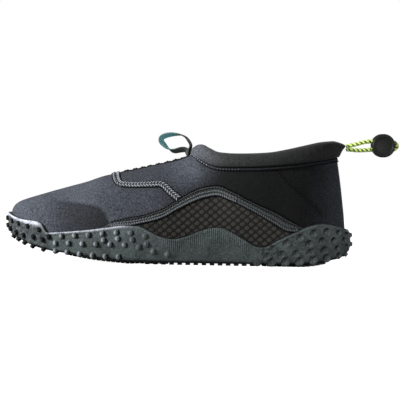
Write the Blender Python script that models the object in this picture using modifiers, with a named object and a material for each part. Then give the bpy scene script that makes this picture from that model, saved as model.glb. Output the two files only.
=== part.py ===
"""Water shoe for the left foot, standing empty on its sole.

Metres, +Z up. The toe points to -X, the outer side to -Y. The origin is on the
floor, in the middle of the shoe's length and width.

Every piece is worked out from one surface, the outside of the upper on its
last. The surface is a fan of ribs: each rib starts on the outline of the
footbed and ends on the instep ridge or on the edge of the collar.
"""

import math

import bmesh
import bpy
import numpy as np
from mathutils import Matrix, Vector

# Driving sizes of the shoe
SHOE_LENGTH = 0.286          # over the studs at toe and heel
BALL_WIDTH = 0.092           # of the upper, across the ball of the foot
INSTEP_HEIGHT = 0.0901       # top of the instep ridge at the throat
COLLAR_HEIGHT = 0.1016       # upper's edge above the heel
RIM_HEIGHT = 0.0349          # top of the rubber cup at the heel
TOE_SPRING = 0.0215          # rise of the sole's underside at the toe
HEEL_SPRING = 0.0120         # rise of the sole's underside at the back of the heel

# Walls and fits
UPPER_WALL = 0.0028
SOLE_WALL = 0.0022           # rubber on the sides
SOLE_FLOOR = 0.0048          # rubber under the footbed, tread included
TREAD_DEPTH = 0.0016
INSOLE_THICKNESS = 0.0032
FIT_GAP = 0.0003             # between pieces that touch on the real shoe
INSOLE_GAP = 0.0005          # under and round the loose insole
TRIM_GAP = 0.0006            # under trims and the binding, which bridge the upper's folds
FOOTBED_TUCK = 0.0014        # how far the upper turns in at its lower edge
HEEL_BELLY = -0.0034         # the back of the heel draws in over the edge of the sole
HEEL_SWELL = 0.0018          # extra rubber round the back of the heel, below the edge

# Studs of the rubber sole
STUD_RADIUS = 0.0021
STUD_HEIGHT = 0.0018
STUD_SIDES = 6
STUD_ROOT = 0.0008           # how deep a stud or lug starts inside the rubber

# Tread under the sole
LUG_PITCH = 0.0066
LUG_LENGTH = 0.0038
LUG_WIDTH = 0.0130
LUG_COUNT = 14
TREAD_INSET = 0.0056         # of the lugs and plates from the side of the sole

# Trims and panels on the upper
TRIM_THICKNESS = 0.0011
PANEL_THICKNESS = 0.0007
BAND_WIDTH = 0.0046          # of the trim across the vamp
BAND_RIDGE_WIDTH = 0.0068    # where it crosses the ridge
GUSSET_WIDTH = 0.0100
GUSSET_THICKNESS = 0.0009

# Collar binding
BINDING_WALL = 0.0015
BINDING_PUFF = 0.0010        # swell of its outer side
BEAK_REACH = 0.0050          # of the cord's outlet at the back of the collar
BEAK_WIDTH = 0.0120

# Pull tab
TAB_WIDTH = 0.0052
TAB_THICKNESS = 0.0011

# Drawcord and its stopper
CORD_DIAMETER = 0.0032
CORD_STEP = 0.0030           # between the points of the cord
STOPPER_DIAMETER = 0.0194
STOPPER_THICKNESS = 0.0095
STOPPER_BORE = 0.0044
STOPPER_YAW = 10.0           # degrees
STRAND_SPACING = 0.0068      # between the cord's strands in the stopper

LAST_LENGTH = SHOE_LENGTH - 2 * (SOLE_WALL + FIT_GAP + STUD_HEIGHT)

# Outline of the upper seen from above: half widths as shares of the ball width
OUTLINE = [
    # along   outer    inner
    (0.000, -0.120, 0.120),
    (0.020, 0.070, 0.280),
    (0.060, 0.225, 0.385),
    (0.120, 0.333, 0.452),
    (0.200, 0.422, 0.487),
    (0.280, 0.475, 0.492),
    (0.360, 0.500, 0.474),
    (0.450, 0.490, 0.418),
    (0.550, 0.442, 0.350),
    (0.650, 0.393, 0.314),
    (0.750, 0.362, 0.314),
    (0.850, 0.340, 0.324),
    (0.920, 0.292, 0.295),
    (0.970, 0.200, 0.213),
    (1.000, -0.006, 0.006),
]

# Underside of the sole: rise as shares of the toe spring and the heel spring
UNDERSIDE = [
    # along   toe    heel
    (0.000, 1.000, 0.0),
    (0.018, 0.880, 0.0),
    (0.040, 0.735, 0.0),
    (0.065, 0.605, 0.0),
    (0.090, 0.505, 0.0),
    (0.122, 0.415, 0.0),
    (0.150, 0.345, 0.0),
    (0.185, 0.245, 0.0),
    (0.230, 0.150, 0.0),
    (0.278, 0.080, 0.0),
    (0.326, 0.030, 0.0),
    (0.366, 0.000, 0.0),
    (0.860, 0.0, 0.000),
    (0.896, 0.0, 0.075),
    (0.922, 0.0, 0.180),
    (0.945, 0.0, 0.315),
    (0.969, 0.0, 0.510),
    (0.985, 0.0, 0.720),
    (1.000, 0.0, 1.000),
]

# Ridge of the toe and instep: where each rib from the outline ends on it
RIDGE = [
    # from    along   aside  height  low    high   belly
    (0.000, 0.0600, 0.070, 0.579, 0.740, 0.460, 0.022),
    (0.030, 0.0850, 0.066, 0.603, 0.700, 0.470, 0.024),
    (0.090, 0.1310, 0.060, 0.647, 0.640, 0.430, 0.028),
    (0.155, 0.1780, 0.052, 0.690, 0.600, 0.392, 0.032),
    (0.215, 0.2250, 0.044, 0.733, 0.570, 0.363, 0.034),
    (0.268, 0.2725, 0.036, 0.786, 0.550, 0.336, 0.036),
    (0.320, 0.3200, 0.028, 0.820, 0.540, 0.320, 0.038),
    (0.370, 0.3670, 0.020, 0.853, 0.530, 0.305, 0.038),
    (0.420, 0.4145, 0.012, 0.888, 0.520, 0.286, 0.036),
    (0.468, 0.4620, 0.005, 0.924, 0.510, 0.260, 0.030),
    (0.512, 0.5000, 0.000, 0.960, 0.500, 0.234, 0.024),
    (0.547, 0.5306, 0.000, 0.998, 0.490, 0.214, 0.018),
]

# Seam at the foot of the collar: half width as a share of the ball width, height
# as a share of the instep height, slope of the side below it in degrees. The rim
# above it: setback and half width, and height as a share of the collar height
COLLAR = [
    # from    along   aside  height  slope  low   high   back  rim    top
    (0.547, 0.5306, 0.000, 0.998, 0.0, 0.49, 0.214, -0.012, 0.000, 0.921),
    (0.565, 0.5405, 0.086, 0.983, 20.0, 0.46, 0.212, 0.004, 0.076, 0.941),
    (0.581, 0.5530, 0.130, 0.962, 34.0, 0.43, 0.220, 0.008, 0.112, 0.955),
    (0.597, 0.5680, 0.164, 0.938, 44.0, 0.415, 0.232, 0.011, 0.140, 0.953),
    (0.617, 0.5865, 0.200, 0.913, 53.0, 0.40, 0.245, 0.011, 0.171, 0.927),
    (0.639, 0.6082, 0.237, 0.894, 60.0, 0.39, 0.260, 0.008, 0.209, 0.898),
    (0.664, 0.6370, 0.274, 0.890, 66.0, 0.38, 0.275, 0.007, 0.248, 0.889),
    (0.700, 0.6767, 0.306, 0.893, 72.0, 0.37, 0.290, 0.003, 0.285, 0.887),
    (0.7415, 0.7235, 0.323, 0.899, 76.0, 0.36, 0.300, 0.001, 0.303, 0.892),
    (0.785, 0.7722, 0.322, 0.910, 79.0, 0.35, 0.310, 0.002, 0.304, 0.903),
    (0.830, 0.8208, 0.308, 0.927, 80.0, 0.34, 0.315, 0.007, 0.291, 0.928),
    (0.8785, 0.8695, 0.275, 0.946, 81.0, 0.33, 0.320, 0.010, 0.261, 0.959),
    (0.929, 0.9164, 0.213, 0.971, 82.0, 0.32, 0.320, 0.012, 0.202, 0.989),
    (0.9687, 0.9470, 0.137, 0.990, 82.0, 0.32, 0.320, 0.015, 0.130, 1.000),
    (0.990, 0.9600, 0.067, 0.999, 82.0, 0.32, 0.320, 0.017, 0.065, 1.003),
    (1.000, 0.9643, 0.000, 1.001, 82.0, 0.32, 0.320, 0.020, 0.000, 1.003),
]

# Upper edge of the rubber cup, as shares of the rim height
SOLE_EDGE = [
    # along   height
    (0.000, 1.117),
    (0.008, 1.045),
    (0.019, 1.000),
    (0.046, 0.937),
    (0.081, 0.918),
    (0.093, 0.870),
    (0.1015, 0.750),
    (0.110, 0.675),
    (0.153, 0.693),
    (0.232, 0.751),
    (0.285, 0.811),
    (0.340, 0.870),
    (0.379, 0.856),
    (0.416, 0.736),
    (0.453, 0.619),
    (0.483, 0.587),
    (0.523, 0.656),
    (0.568, 0.797),
    (0.607, 0.862),
    (0.628, 0.850),
    (0.659, 0.751),
    (0.688, 0.628),
    (0.739, 0.446),
    (0.750, 0.446),
    (0.794, 0.613),
    (0.850, 0.828),
    (0.887, 0.946),
    (0.921, 1.000),
    (0.964, 0.951),
    (1.000, 0.860),
]

# Rows of studs, from the toe tip or on to the heel, the same on both sides.
# Places are shares of the half outline, heights shares of the rubber wall
STUD_ROWS = [
    # from    pitch   count first middle last
    (0.0175, 0.0330, 5, 0.78, 0.80, 0.74),
    (0.0000, 0.0330, 5, 0.46, 0.35, 0.40),
    (0.1590, 0.0362, 10, 0.43, 0.49, 0.34),
    (0.0240, 0.0337, 11, 0.07, 0.06, 0.12),
    (0.1770, 0.0357, 8, 0.79, 0.83, 0.80),
    (0.3230, 0.0362, 4, 0.62, 0.64, 0.58),
    (0.7570, 0.0347, 8, 0.74, 0.81, 0.80),
    (0.8496, 0.0330, 4, 0.55, 0.57, 0.60),
    (0.7430, 0.0367, 8, 0.45, 0.32, 0.46),
    (0.7170, 0.0360, 8, 0.10, 0.12, 0.13),
]

# Wavy trim along the side: lower and upper edge as shares of the instep height
WAVE_TRIM = [
    # along   low     high
    (0.2750, 0.3140, 0.3210),
    (0.3035, 0.3440, 0.3810),
    (0.3530, 0.3670, 0.4060),
    (0.3990, 0.3760, 0.4400),
    (0.4286, 0.3990, 0.4710),
    (0.4524, 0.4260, 0.5010),
    (0.4885, 0.4910, 0.5690),
    (0.5335, 0.5620, 0.6550),
    (0.5720, 0.6090, 0.7030),
    (0.6090, 0.6300, 0.7180),
    (0.6550, 0.5860, 0.6680),
    (0.7055, 0.5150, 0.5920),
    (0.7380, 0.4620, 0.5470),
    (0.7810, 0.3860, 0.4910),
    (0.8240, 0.3220, 0.4200),
    (0.8460, 0.3200, 0.3860),
    (0.8650, 0.3440, 0.3560),
]
PANEL_START = 0.383          # share of the last's length where the mesh panel starts
PANEL_END = 0.834

# Trim across the vamp, on each side from its lower end up to the ridge
VAMP_TRIM = [
    # step   along   height
    (0.00, 0.4950, 0.603),
    (0.20, 0.4690, 0.665),
    (0.30, 0.4450, 0.713),
    (0.40, 0.4120, 0.724),
    (0.60, 0.3500, 0.711),
    (0.75, 0.3200, 0.725),
]
VAMP_CROSSING = 0.3080       # share of the last's length where it crosses the ridge
GUSSET_START = 0.3250
GUSSET_END = 0.5080

# Pull tab: places from the root of the tab, and the turn of the ribbon there
TAB_LOOP = [
    # along   up      turn
    (0.0000, 0.0000, -25),
    (0.0006, 0.0024, -25),
    (0.0015, 0.0060, -20),
    (-0.0004, 0.0099, -18),
    (-0.0032, 0.0129, -8),
    (-0.0072, 0.0145, 4),
    (-0.0133, 0.0147, 30),
    (-0.0185, 0.0138, 45),
    (-0.0224, 0.0119, 50),
    (-0.0227, 0.0088, 50),
    (-0.0202, 0.0058, 38),
    (-0.0168, 0.0029, 8),
    (-0.0121, 0.0011, -38),
    (-0.0060, 0.0020, -55),
    (-0.0019, 0.0014, -42),
    (-0.0007, -0.0001, -30),
]
TAB_ROOT_GAP = 0.0021        # in front of the collar seam, room for the binding
TAB_ROOT_RISE = 0.0017

# Drawcord: one strand out of the beak, through the stopper, round and back
CORD_ROUTE = [
    (0.0087, 0.0019, -0.0023), (0.0120, 0.0017, -0.0016), (0.0180, 0.0010, -0.0001), (0.0240, 0.0003, 0.0016),
    (0.0290, 0.0000, 0.0023), (0.0340, 0.0000, 0.0024), (0.0400, 0.0000, 0.0024), (0.0460, 0.0000, 0.0024),
    (0.0499, 0.0000, 0.0022), (0.0520, 0.0000, 0.0009), (0.0527, 0.0000, -0.0010), (0.0520, 0.0000, -0.0029),
    (0.0499, 0.0000, -0.0042), (0.0460, 0.0000, -0.0044), (0.0400, 0.0000, -0.0044), (0.0340, 0.0000, -0.0044),
    (0.0290, 0.0000, -0.0046), (0.0240, -0.0003, -0.0051), (0.0180, -0.0010, -0.0053), (0.0120, -0.0017, -0.0049),
    (0.0087, -0.0019, -0.0047),
]
STOPPER_PLACE = (0.0394, 0.0, -0.0010)

UPPER_RIBS = 38              # on each side
UPPER_ROWS = 9
LADDER_STEPS = 4             # across the footbed and the underside
FINE_RIBS = 240              # sampling for the lines drawn on the upper
FINE_ROWS = 120


def smooth(at, rows, column, shares=None):
    """Read a column of a table along a curve through its rows."""
    table = np.asarray(rows, float)
    knots = table[:, 0] if shares is None else np.asarray(shares)
    values = table[:, column]
    slopes = np.gradient(values, knots)
    return hermite(at, knots, values, slopes)


def level(at, rows, column):
    """Read a column along a curve that never passes beyond its rows."""
    table = np.asarray(rows, float)
    knots, values = table[:, 0], table[:, column]
    steps = np.diff(values) / np.diff(knots)
    slopes = np.zeros(len(knots))
    same = steps[:-1] * steps[1:] > 0
    total = np.where(same, steps[:-1] + steps[1:], 1.0)
    slopes[1:-1] = np.where(same, 2 * steps[:-1] * steps[1:] / total, 0.0)
    slopes[0], slopes[-1] = steps[0], steps[-1]
    return hermite(at, knots, values, slopes)


def hermite(at, knots, values, slopes):
    """Cubic pieces between the knots."""
    at = np.clip(np.asarray(at, float), knots[0], knots[-1])
    i = np.clip(np.searchsorted(knots, at, side="right") - 1, 0, len(knots) - 2)
    span = knots[i + 1] - knots[i]
    u = (at - knots[i]) / span
    rise = values[i + 1] - values[i]
    bend = slopes[i] * span - rise
    back = rise - slopes[i + 1] * span
    return values[i] + u * rise + u * (1 - u) * ((1 - u) * bend + u * back)


def turn_of(share):
    """Even steps round the outline: 0 at the toe tip, 1 at the heel."""
    return np.arccos(1 - 2 * np.clip(np.asarray(share, float), 0, 1)) / math.pi


def share_of(turn):
    return (1 - np.cos(math.pi * turn)) / 2


def along_x(share):
    return (share - 0.5) * LAST_LENGTH


def share_at(x):
    return x / LAST_LENGTH + 0.5


def underside(x):
    """Height of the tread's ground face at a place along the shoe."""
    share = np.clip(share_at(x), 0, 1)
    toe = level(share, UNDERSIDE, 1) * TOE_SPRING
    return toe + level(share, UNDERSIDE, 2) * HEEL_SPRING


def sole_belly(x):
    """Height of the sole's underside between the lugs of the tread."""
    share = share_at(x)
    tread = np.interp(share, (0.14, 0.18, 0.955, 0.985), (0, 1, 1, 0))
    return underside(x) + tread * TREAD_DEPTH


def footbed(x):
    """Height of the rubber floor inside the cup."""
    return underside(x) * 0.86 + SOLE_FLOOR


def outline(turn, side):
    """Outline of the upper from above, with its outward direction."""
    turns = turn_of(np.asarray(OUTLINE)[:, 0])

    def point(t):
        t = np.clip(t, 0, 1)
        outer = -smooth(t, OUTLINE, 1, turns)
        inner = smooth(t, OUTLINE, 2, turns)
        return along_x(share_of(t)), np.where(side < 0, outer, inner) * BALL_WIDTH

    x, y = point(turn)
    ahead, behind = point(turn + 1e-3), point(turn - 1e-3)
    dx, dy = ahead[0] - behind[0], ahead[1] - behind[1]
    size = np.hypot(dx, dy)
    return x, y, -side * dy / size, side * dx / size


THROAT = COLLAR[0][0]
THROAT_TURN = math.acos(1 - 2 * THROAT) / math.pi
THROAT_RIBS = THROAT_TURN + np.array([0.0, 0.0060, 0.0140])
THROAT_EASE = 0.07           # turn to either side of the throat over which its ribs are eased


def rib_top(turn):
    """Upper end of each rib: x, centre, half width, height, slope, low, high, belly."""
    ridge_knots = turn_of(np.asarray(RIDGE)[:, 0])
    seam_knots = turn_of(np.asarray(COLLAR)[:, 0])
    ridge = [smooth(turn, RIDGE, column, ridge_knots) for column in range(1, 7)]
    seam = [smooth(turn, COLLAR, column, seam_knots) for column in range(1, 7)]
    front = turn <= THROAT_TURN
    x = np.where(front, along_x(ridge[0]), along_x(seam[0]))
    centre = np.where(front, ridge[1] * BALL_WIDTH, 0.0)
    half = np.where(front, 0.0, seam[1] * BALL_WIDTH)
    height = np.where(front, ridge[2], seam[2]) * INSTEP_HEIGHT
    slope = np.where(front, 0.0, np.radians(seam[3]))
    low = np.where(front, ridge[3], seam[4])
    high = np.where(front, ridge[4], seam[5])
    back = np.clip((turn - 0.78) / 0.22, 0, 1)
    waist = RIDGE[-1][6] * BALL_WIDTH * np.clip(1 - (turn - THROAT_TURN) / 0.12, 0, 1)
    belly = np.where(front, ridge[5] * BALL_WIDTH, waist + HEEL_BELLY * back * back * (3 - 2 * back))
    return x, centre, half, height, slope, low, high, belly


def rim(w):
    """Upper edge of the upper's wall round the collar."""
    turn = np.abs(w)
    knots = turn_of(np.asarray(COLLAR)[:, 0])
    along, back, half, top = (smooth(turn, COLLAR, column, knots) for column in (1, 7, 8, 9))
    side = np.where(np.asarray(w) < 0, -1.0, 1.0)
    x = along_x(along) - back * BALL_WIDTH
    return np.stack([x, side * half * BALL_WIDTH, top * COLLAR_HEIGHT], -1)


def rib_point(w, t):
    """Point on one rib of the upper.

    w runs round the outline, 0 at the toe tip, -1 and 1 at the heel, negative on
    the outer side. t climbs the rib from the footbed, 0, to its upper end, 1.
    """
    w, t = np.broadcast_arrays(np.asarray(w, float), np.asarray(t, float))
    w = np.where(w > 1, w - 2, np.where(w < -1, w + 2, w))
    turn = np.abs(w)
    side = np.where(w < 0, -1.0, 1.0)
    x, y, out_x, out_y = outline(turn, side)
    top_x, centre, half, top_z, slope, low, high, belly = rib_top(turn)
    foot = np.stack([x - out_x * FOOTBED_TUCK, y - out_y * FOOTBED_TUCK, footbed(x) + FIT_GAP], -1)
    head = np.stack([top_x, centre + side * half, top_z], -1)
    out = np.stack([out_x, out_y, np.zeros_like(out_x)], -1)
    rise = (head - foot)[..., 2]
    chord = np.linalg.norm(head - foot, axis=-1)
    spring = foot + out * (2 * FOOTBED_TUCK + belly)[..., None]
    spring[..., 2] += low * rise
    fall = ridge_slope(turn) * out_x * np.cos(slope) - np.sin(slope)
    arrive = np.stack([out_x * np.cos(slope), out_y * np.cos(slope), fall], -1)
    crown = head + arrive * (high * chord)[..., None]
    t = t[..., None]
    return (foot * (1 - t) ** 3 + spring * 3 * t * (1 - t) ** 2
            + crown * 3 * t ** 2 * (1 - t) + head * t ** 3)


def surface(w, t):
    """Point on the outside of the upper, with the ribs under the throat eased into each other."""
    w, t = np.broadcast_arrays(np.asarray(w, float), np.asarray(t, float))
    near = np.clip(1 - np.abs(np.abs(w) - THROAT_TURN) / THROAT_EASE, 0, 1)
    below = np.clip((1 - t) / 0.25, 0, 1)
    reach = THROAT_EASE / 2 * near * below * below * (3 - 2 * below)
    points = rib_point(w, t)
    eased = reach > 1e-5
    if eased.any():
        w, t, reach = w[eased], t[eased], reach[eased]
        steps = np.linspace(-1, 1, 9)
        shares = 1 + np.cos(math.pi * steps * 0.9)
        total = sum(share * rib_point(w + step * reach, t) for step, share in zip(steps, shares))
        points = points.copy()
        points[eased] = total / shares.sum()
    return points


def ridge_slope(turn):
    """Rise of the instep ridge per metre of length."""
    knots = turn_of(np.asarray(RIDGE)[:, 0])
    low = np.clip(np.asarray(turn) - 4e-3, 0, THROAT_TURN - 8e-3)
    run = smooth(low + 8e-3, RIDGE, 1, knots) - smooth(low, RIDGE, 1, knots)
    rise = smooth(low + 8e-3, RIDGE, 3, knots) - smooth(low, RIDGE, 3, knots)
    return rise * INSTEP_HEIGHT / (run * LAST_LENGTH)


def outward(w, t):
    """Unit normal of the surface, pointing away from the foot."""
    w, t = np.broadcast_arrays(np.asarray(w, float), np.asarray(t, float))
    step = 2e-3
    mid = np.clip(t, step, 1 - 2 * step)
    round_it = surface(w + step, mid) - surface(w - step, mid)
    climb = surface(w, mid + step) - surface(w, mid - step)
    normal = np.cross(climb, round_it)
    normal /= np.linalg.norm(normal, axis=-1, keepdims=True)
    slope = ridge_slope(np.abs(w))
    crest = np.stack([-slope, 0 * slope, 1 + 0 * slope], -1)
    crest /= np.linalg.norm(crest, axis=-1, keepdims=True)
    on_ridge = (t > 1 - 2 * step) & (np.abs(w) <= THROAT_TURN)
    return np.where(on_ridge[..., None], crest, normal)


def offset(w, t, distance):
    """Point at a distance outside the upper."""
    return surface(w, t) + outward(w, t) * np.asarray(distance)[..., None]


def locate(x, z, side):
    """Place on the surface (w, t) that is seen at x and z from one side."""
    x, z = np.broadcast_arrays(np.asarray(x, float), np.asarray(z, float))
    turns = np.linspace(0.002, 0.998, FINE_RIBS)
    climbs = np.linspace(0, 1, FINE_ROWS)
    fan = surface(side * turns[:, None], climbs[None, :])
    found_w, found_t = np.empty(x.shape), np.empty(x.shape)
    for index in np.ndindex(x.shape):
        height = np.array([np.interp(z[index], rib[:, 2], climbs) for rib in fan])
        place = np.array([np.interp(h, climbs, rib[:, 0]) for h, rib in zip(height, fan)])
        turn = np.interp(x[index], place, turns)
        found_w[index] = side * turn
        found_t[index] = np.interp(turn, turns, height)
    return found_w, found_t


def climb_to(w, heights):
    """Climb t on each rib where it reaches the height given for its place x."""
    climbs = np.linspace(0, 1, FINE_ROWS)
    ribs = surface(np.asarray(w)[:, None], climbs[None, :])
    reached = []
    for rib in ribs:
        over = rib[:, 2] - heights(rib[:, 0])
        first = int(np.argmax(over > 0))
        lo, hi = over[first - 1], over[first]
        reached.append(climbs[first - 1] + (climbs[1] - climbs[0]) * lo / (lo - hi))
    return np.array(reached)


def sole_edge(x):
    """Height of the rubber cup's upper edge."""
    return level(np.clip(share_at(x), 0, 1), SOLE_EDGE, 1) * RIM_HEIGHT


def above_rubber(x, side):
    """Lowest height for a trim above the rubber cup, whose edge is straight between ribs."""
    w = side * np.linspace(0, 1, UPPER_RIBS + 1)
    edge = surface(w, climb_to(w, sole_edge))
    return np.maximum(sole_edge(x), np.interp(x, edge[:, 0], edge[:, 2])) + 2 * FIT_GAP


def ring_of(count):
    """Ribs all round: toe tip, outer side, heel, inner side."""
    turns = np.linspace(0, 1, count + 1)
    return np.concatenate([-turns, turns[-2:0:-1]])


def upper_ring(count):
    """The ribs all round, with closer ones at the throat."""
    turns = np.sort(np.append(np.linspace(0, 1, count + 1), THROAT_RIBS))
    return np.concatenate([-turns, turns[-2:0:-1]])


def closed(columns):
    """Repeat the first column at the end, to close a ring."""
    return np.concatenate([columns, columns[:1]], 0)


def add_sheet(mesh, grid):
    """Add a grid of points as four-sided faces."""
    rows, columns = grid.shape[:2]
    verts = [[mesh.verts.new(point) for point in line] for line in grid.tolist()]
    for i in range(rows - 1):
        for j in range(columns - 1):
            mesh.faces.new((verts[i][j], verts[i][j + 1], verts[i + 1][j + 1], verts[i + 1][j]))


def ladder(ring, height, steps=LADDER_STEPS):
    """Rungs between the two sides of a ring, at a height worked out from x."""
    count = len(ring) // 2
    outer = ring[:count + 1]
    inner = np.concatenate([ring[:1], ring[:count - 1:-1]], 0)
    share = np.linspace(0, 1, steps + 1)[None, :, None]
    grid = outer[:, None] * (1 - share) + inner[:, None] * share
    if height is not None:
        grid[:, 1:-1, 2] = height(grid[:, 1:-1, 0])
    return grid


def finish(name, mesh, collection, material, weld=2e-6):
    """Weld the sheets of a bmesh and make an object of them."""
    bmesh.ops.remove_doubles(mesh, verts=mesh.verts, dist=weld)
    bmesh.ops.dissolve_degenerate(mesh, edges=mesh.edges, dist=weld)
    bmesh.ops.recalc_face_normals(mesh, faces=mesh.faces)
    data = bpy.data.meshes.new(name)
    mesh.to_mesh(data)
    mesh.free()
    data.shade_smooth()
    data.set_sharp_from_angle(angle=math.radians(40))
    piece = bpy.data.objects.new(name, data)
    collection.objects.link(piece)
    if material:
        data.materials.append(material)
    return piece


def thicken(piece, thickness, outside):
    """Give an open sheet its wall, outwards or inwards."""
    wall = piece.modifiers.new("wall", "SOLIDIFY")
    wall.thickness = thickness
    wall.offset = 1.0 if outside else -1.0
    return piece


def material(name, colour, roughness, metallic=0.0):
    shade = bpy.data.materials.new(name)
    shade.use_nodes = True
    shader = shade.node_tree.nodes["Principled BSDF"]
    shader.inputs["Base Color"].default_value = (*colour, 1.0)
    shader.inputs["Roughness"].default_value = roughness
    shader.inputs["Metallic"].default_value = metallic
    return shade


def collar_ring(ribs):
    """Ribs round the collar, closed: throat, inner side, heel, outer side, throat."""
    turns = np.linspace(0, 1, ribs + 1)
    turns = np.concatenate([THROAT_RIBS, turns[turns > THROAT_RIBS[-1]]])
    return np.concatenate([turns, -turns[-2::-1]])


def collar_wall(w, share):
    """Outside of the upper's wall above the collar seam: 0 at the seam, 1 at the rim."""
    seam = surface(w, 1.0 + 0 * w)
    return seam[:, None] * (1 - share[None, :, None]) + rim(w)[:, None] * share[None, :, None]


def make_upper(parts, cloth):
    """Hollow upper, open at the collar and underneath."""
    ring = closed(upper_ring(UPPER_RIBS))
    climbs = np.linspace(0, 1, UPPER_ROWS + 1)
    mesh = bmesh.new()
    add_sheet(mesh, surface(ring[:, None], climbs[None, :]))
    add_sheet(mesh, collar_wall(collar_ring(UPPER_RIBS), np.array([0.0, 0.5, 1.0])))
    upper = finish("upper", mesh, parts, cloth)
    return thicken(upper, UPPER_WALL, outside=False)


def sole_wall_rows(ring):
    """Rows of the rubber cup from its underside, over the edge, down to its floor."""
    outside = FIT_GAP + SOLE_WALL
    edge = climb_to(ring, sole_edge)
    turn, side = np.abs(ring), np.where(ring < 0, -1.0, 1.0)
    back = np.clip((turn - 0.8) / 0.2, 0, 1)
    swell = HEEL_SWELL * back * back * (3 - 2 * back)
    foot = offset(ring, 0.0 * ring, outside + swell / 2)
    _, _, out_x, out_y = outline(turn, side)
    out = np.stack([out_x, out_y, 0 * out_x], -1)
    rows = []
    for inset, share in ((0.0052, 0.0), (0.0024, 0.10), (0.0006, 0.48)):
        row = foot - out * inset
        belly = sole_belly(row[:, 0])
        row[:, 2] = belly + (foot[:, 2] - belly) * share
        rows.append(row)
    for share, puff in ((0.0, 0.5), (0.5, 1.0)):
        rows.append(offset(ring, edge * share, outside + swell * puff))
    lip = 0.0007 / np.maximum(surface(ring, edge)[:, 2] - foot[:, 2], 0.004)
    rows.append(offset(ring, edge * (1 - lip), outside + swell * 0.4))
    rows.append(offset(ring, edge, FIT_GAP + 0.6 * SOLE_WALL + 0 * ring))
    rows.append(offset(ring, edge, FIT_GAP + 0 * ring))
    rows.append(offset(ring, edge * 0.5, FIT_GAP + 0 * ring))
    floor = offset(ring, 0.0 * ring, FIT_GAP + 0 * ring)
    floor[:, 2] = footbed(floor[:, 0])
    rows.append(floor)
    return rows


def arc_turns(shares):
    """Turns at even shares of the way round the half outline."""
    turns = np.linspace(0, 1, 801)
    x, y, _, _ = outline(turns, -1.0 + 0 * turns)
    steps = np.hypot(np.diff(x), np.diff(y))
    way = np.concatenate([[0.0], np.cumsum(steps)])
    return np.interp(shares, way / way[-1], turns)


def stud_places():
    """Where the studs stand: foot point and direction of each."""
    places = []
    for start, pitch, count, first, middle, last in STUD_ROWS:
        step = np.arange(count) / (count - 1)
        share = start + pitch * np.arange(count)
        height = first + (last - first) * step + 4 * (middle - (first + last) / 2) * step * (1 - step)
        turns = arc_turns(np.minimum(share, 1.0))
        for side in (-1, 1):
            for turn, high in zip(turns, height):
                if side < 0 or 1e-4 < turn < 1 - 1e-4:
                    places.append((side * turn, high))
    w, high = np.array(places).T
    centre, above = wall_point(w, high), wall_point(w, high + 0.04)
    around = wall_point(w + 2e-3, high) - wall_point(w - 2e-3, high)
    normal = np.cross(above - centre, around)
    normal /= np.linalg.norm(normal, axis=-1, keepdims=True)
    return zip(centre.tolist(), normal.tolist())


def wall_point(w, high):
    """Point on the rubber wall, high being a share of its height."""
    w = np.where(w > 1, w - 2, np.where(w < -1, w + 2, w))
    lines = np.stack(sole_wall_rows(w)[:7], 1)
    reach = lines[:, :, 2] - lines[:, :1, 2]
    spots = []
    for line, rise, share in zip(lines, reach, high):
        spots.append([np.interp(share * rise[-1], rise, line[:, axis]) for axis in range(3)])
    return np.array(spots)


def add_stud(mesh, foot, direction):
    """Blunt cone standing on the rubber."""
    foot, direction = Vector(foot), Vector(direction)
    height = STUD_HEIGHT + STUD_ROOT
    turn = direction.to_track_quat("Z", "Y").to_matrix().to_4x4()
    middle = foot + direction * (height / 2 - STUD_ROOT)
    bmesh.ops.create_cone(mesh, cap_ends=True, segments=STUD_SIDES, radius1=STUD_RADIUS,
                          radius2=0.6 * STUD_RADIUS, depth=height,
                          matrix=Matrix.Translation(middle) @ turn)


def add_plate(mesh, start, end, insets):
    """Flat part of the tread between two places, kept inside the sole's side."""
    x = np.linspace(start, end, 10)
    turns = turn_of(share_at(x))
    edges = []
    for side in (-1.0, 1.0):
        px, py, out_x, out_y = outline(turns, side + 0 * turns)
        inset = np.interp(np.linspace(0, 1, 10), *insets)
        edges.append(np.stack([px, py - out_y * inset, 0 * px], -1))
    share = np.linspace(0, 1, 4)[None, :, None]
    low = edges[0][:, None] * (1 - share) + edges[1][:, None] * share
    high = low.copy()
    low[..., 2] = underside(low[..., 0])
    high[..., 2] = sole_belly(high[..., 0]) + STUD_ROOT
    add_box_sheet(mesh, low, high)


def add_box_sheet(mesh, low, high):
    """Closed solid between two grids of the same size."""
    made = {}
    rows, columns = low.shape[:2]
    for name, grid in (("low", low), ("high", high)):
        made[name] = [[mesh.verts.new(p) for p in line] for line in grid.tolist()]
    for i in range(rows - 1):
        for j in range(columns - 1):
            for grid in made.values():
                mesh.faces.new((grid[i][j], grid[i][j + 1], grid[i + 1][j + 1], grid[i + 1][j]))
    rim_path = [(0, j) for j in range(columns)] + [(i, columns - 1) for i in range(1, rows)]
    rim_path += [(rows - 1, j) for j in range(columns - 2, -1, -1)]
    rim_path += [(i, 0) for i in range(rows - 2, 0, -1)]
    a, b = made["low"], made["high"]
    for (i, j), (k, m) in zip(rim_path, rim_path[1:] + rim_path[:1]):
        mesh.faces.new((a[i][j], a[k][m], b[k][m], b[i][j]))


def add_lugs(mesh):
    """Short bars across both edges of the waist."""
    first = along_x(0.409)
    for side in (-1.0, 1.0):
        for index in range(LUG_COUNT):
            x = first + index * LUG_PITCH
            ends = np.array([x - LUG_LENGTH / 2, x + LUG_LENGTH / 2])
            _, y, _, _ = outline(turn_of(share_at(ends)), side + 0 * ends)
            edge = y - side * (TREAD_INSET - 0.0012)
            low = np.stack([np.stack([ends, edge], -1), np.stack([ends, edge - side * LUG_WIDTH], -1)], 1)
            low = np.concatenate([low, underside(low[..., :1])], -1)
            high = low.copy()
            high[..., 2] = sole_belly(high[..., 0]) + STUD_ROOT
            add_box_sheet(mesh, low, high)


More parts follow.
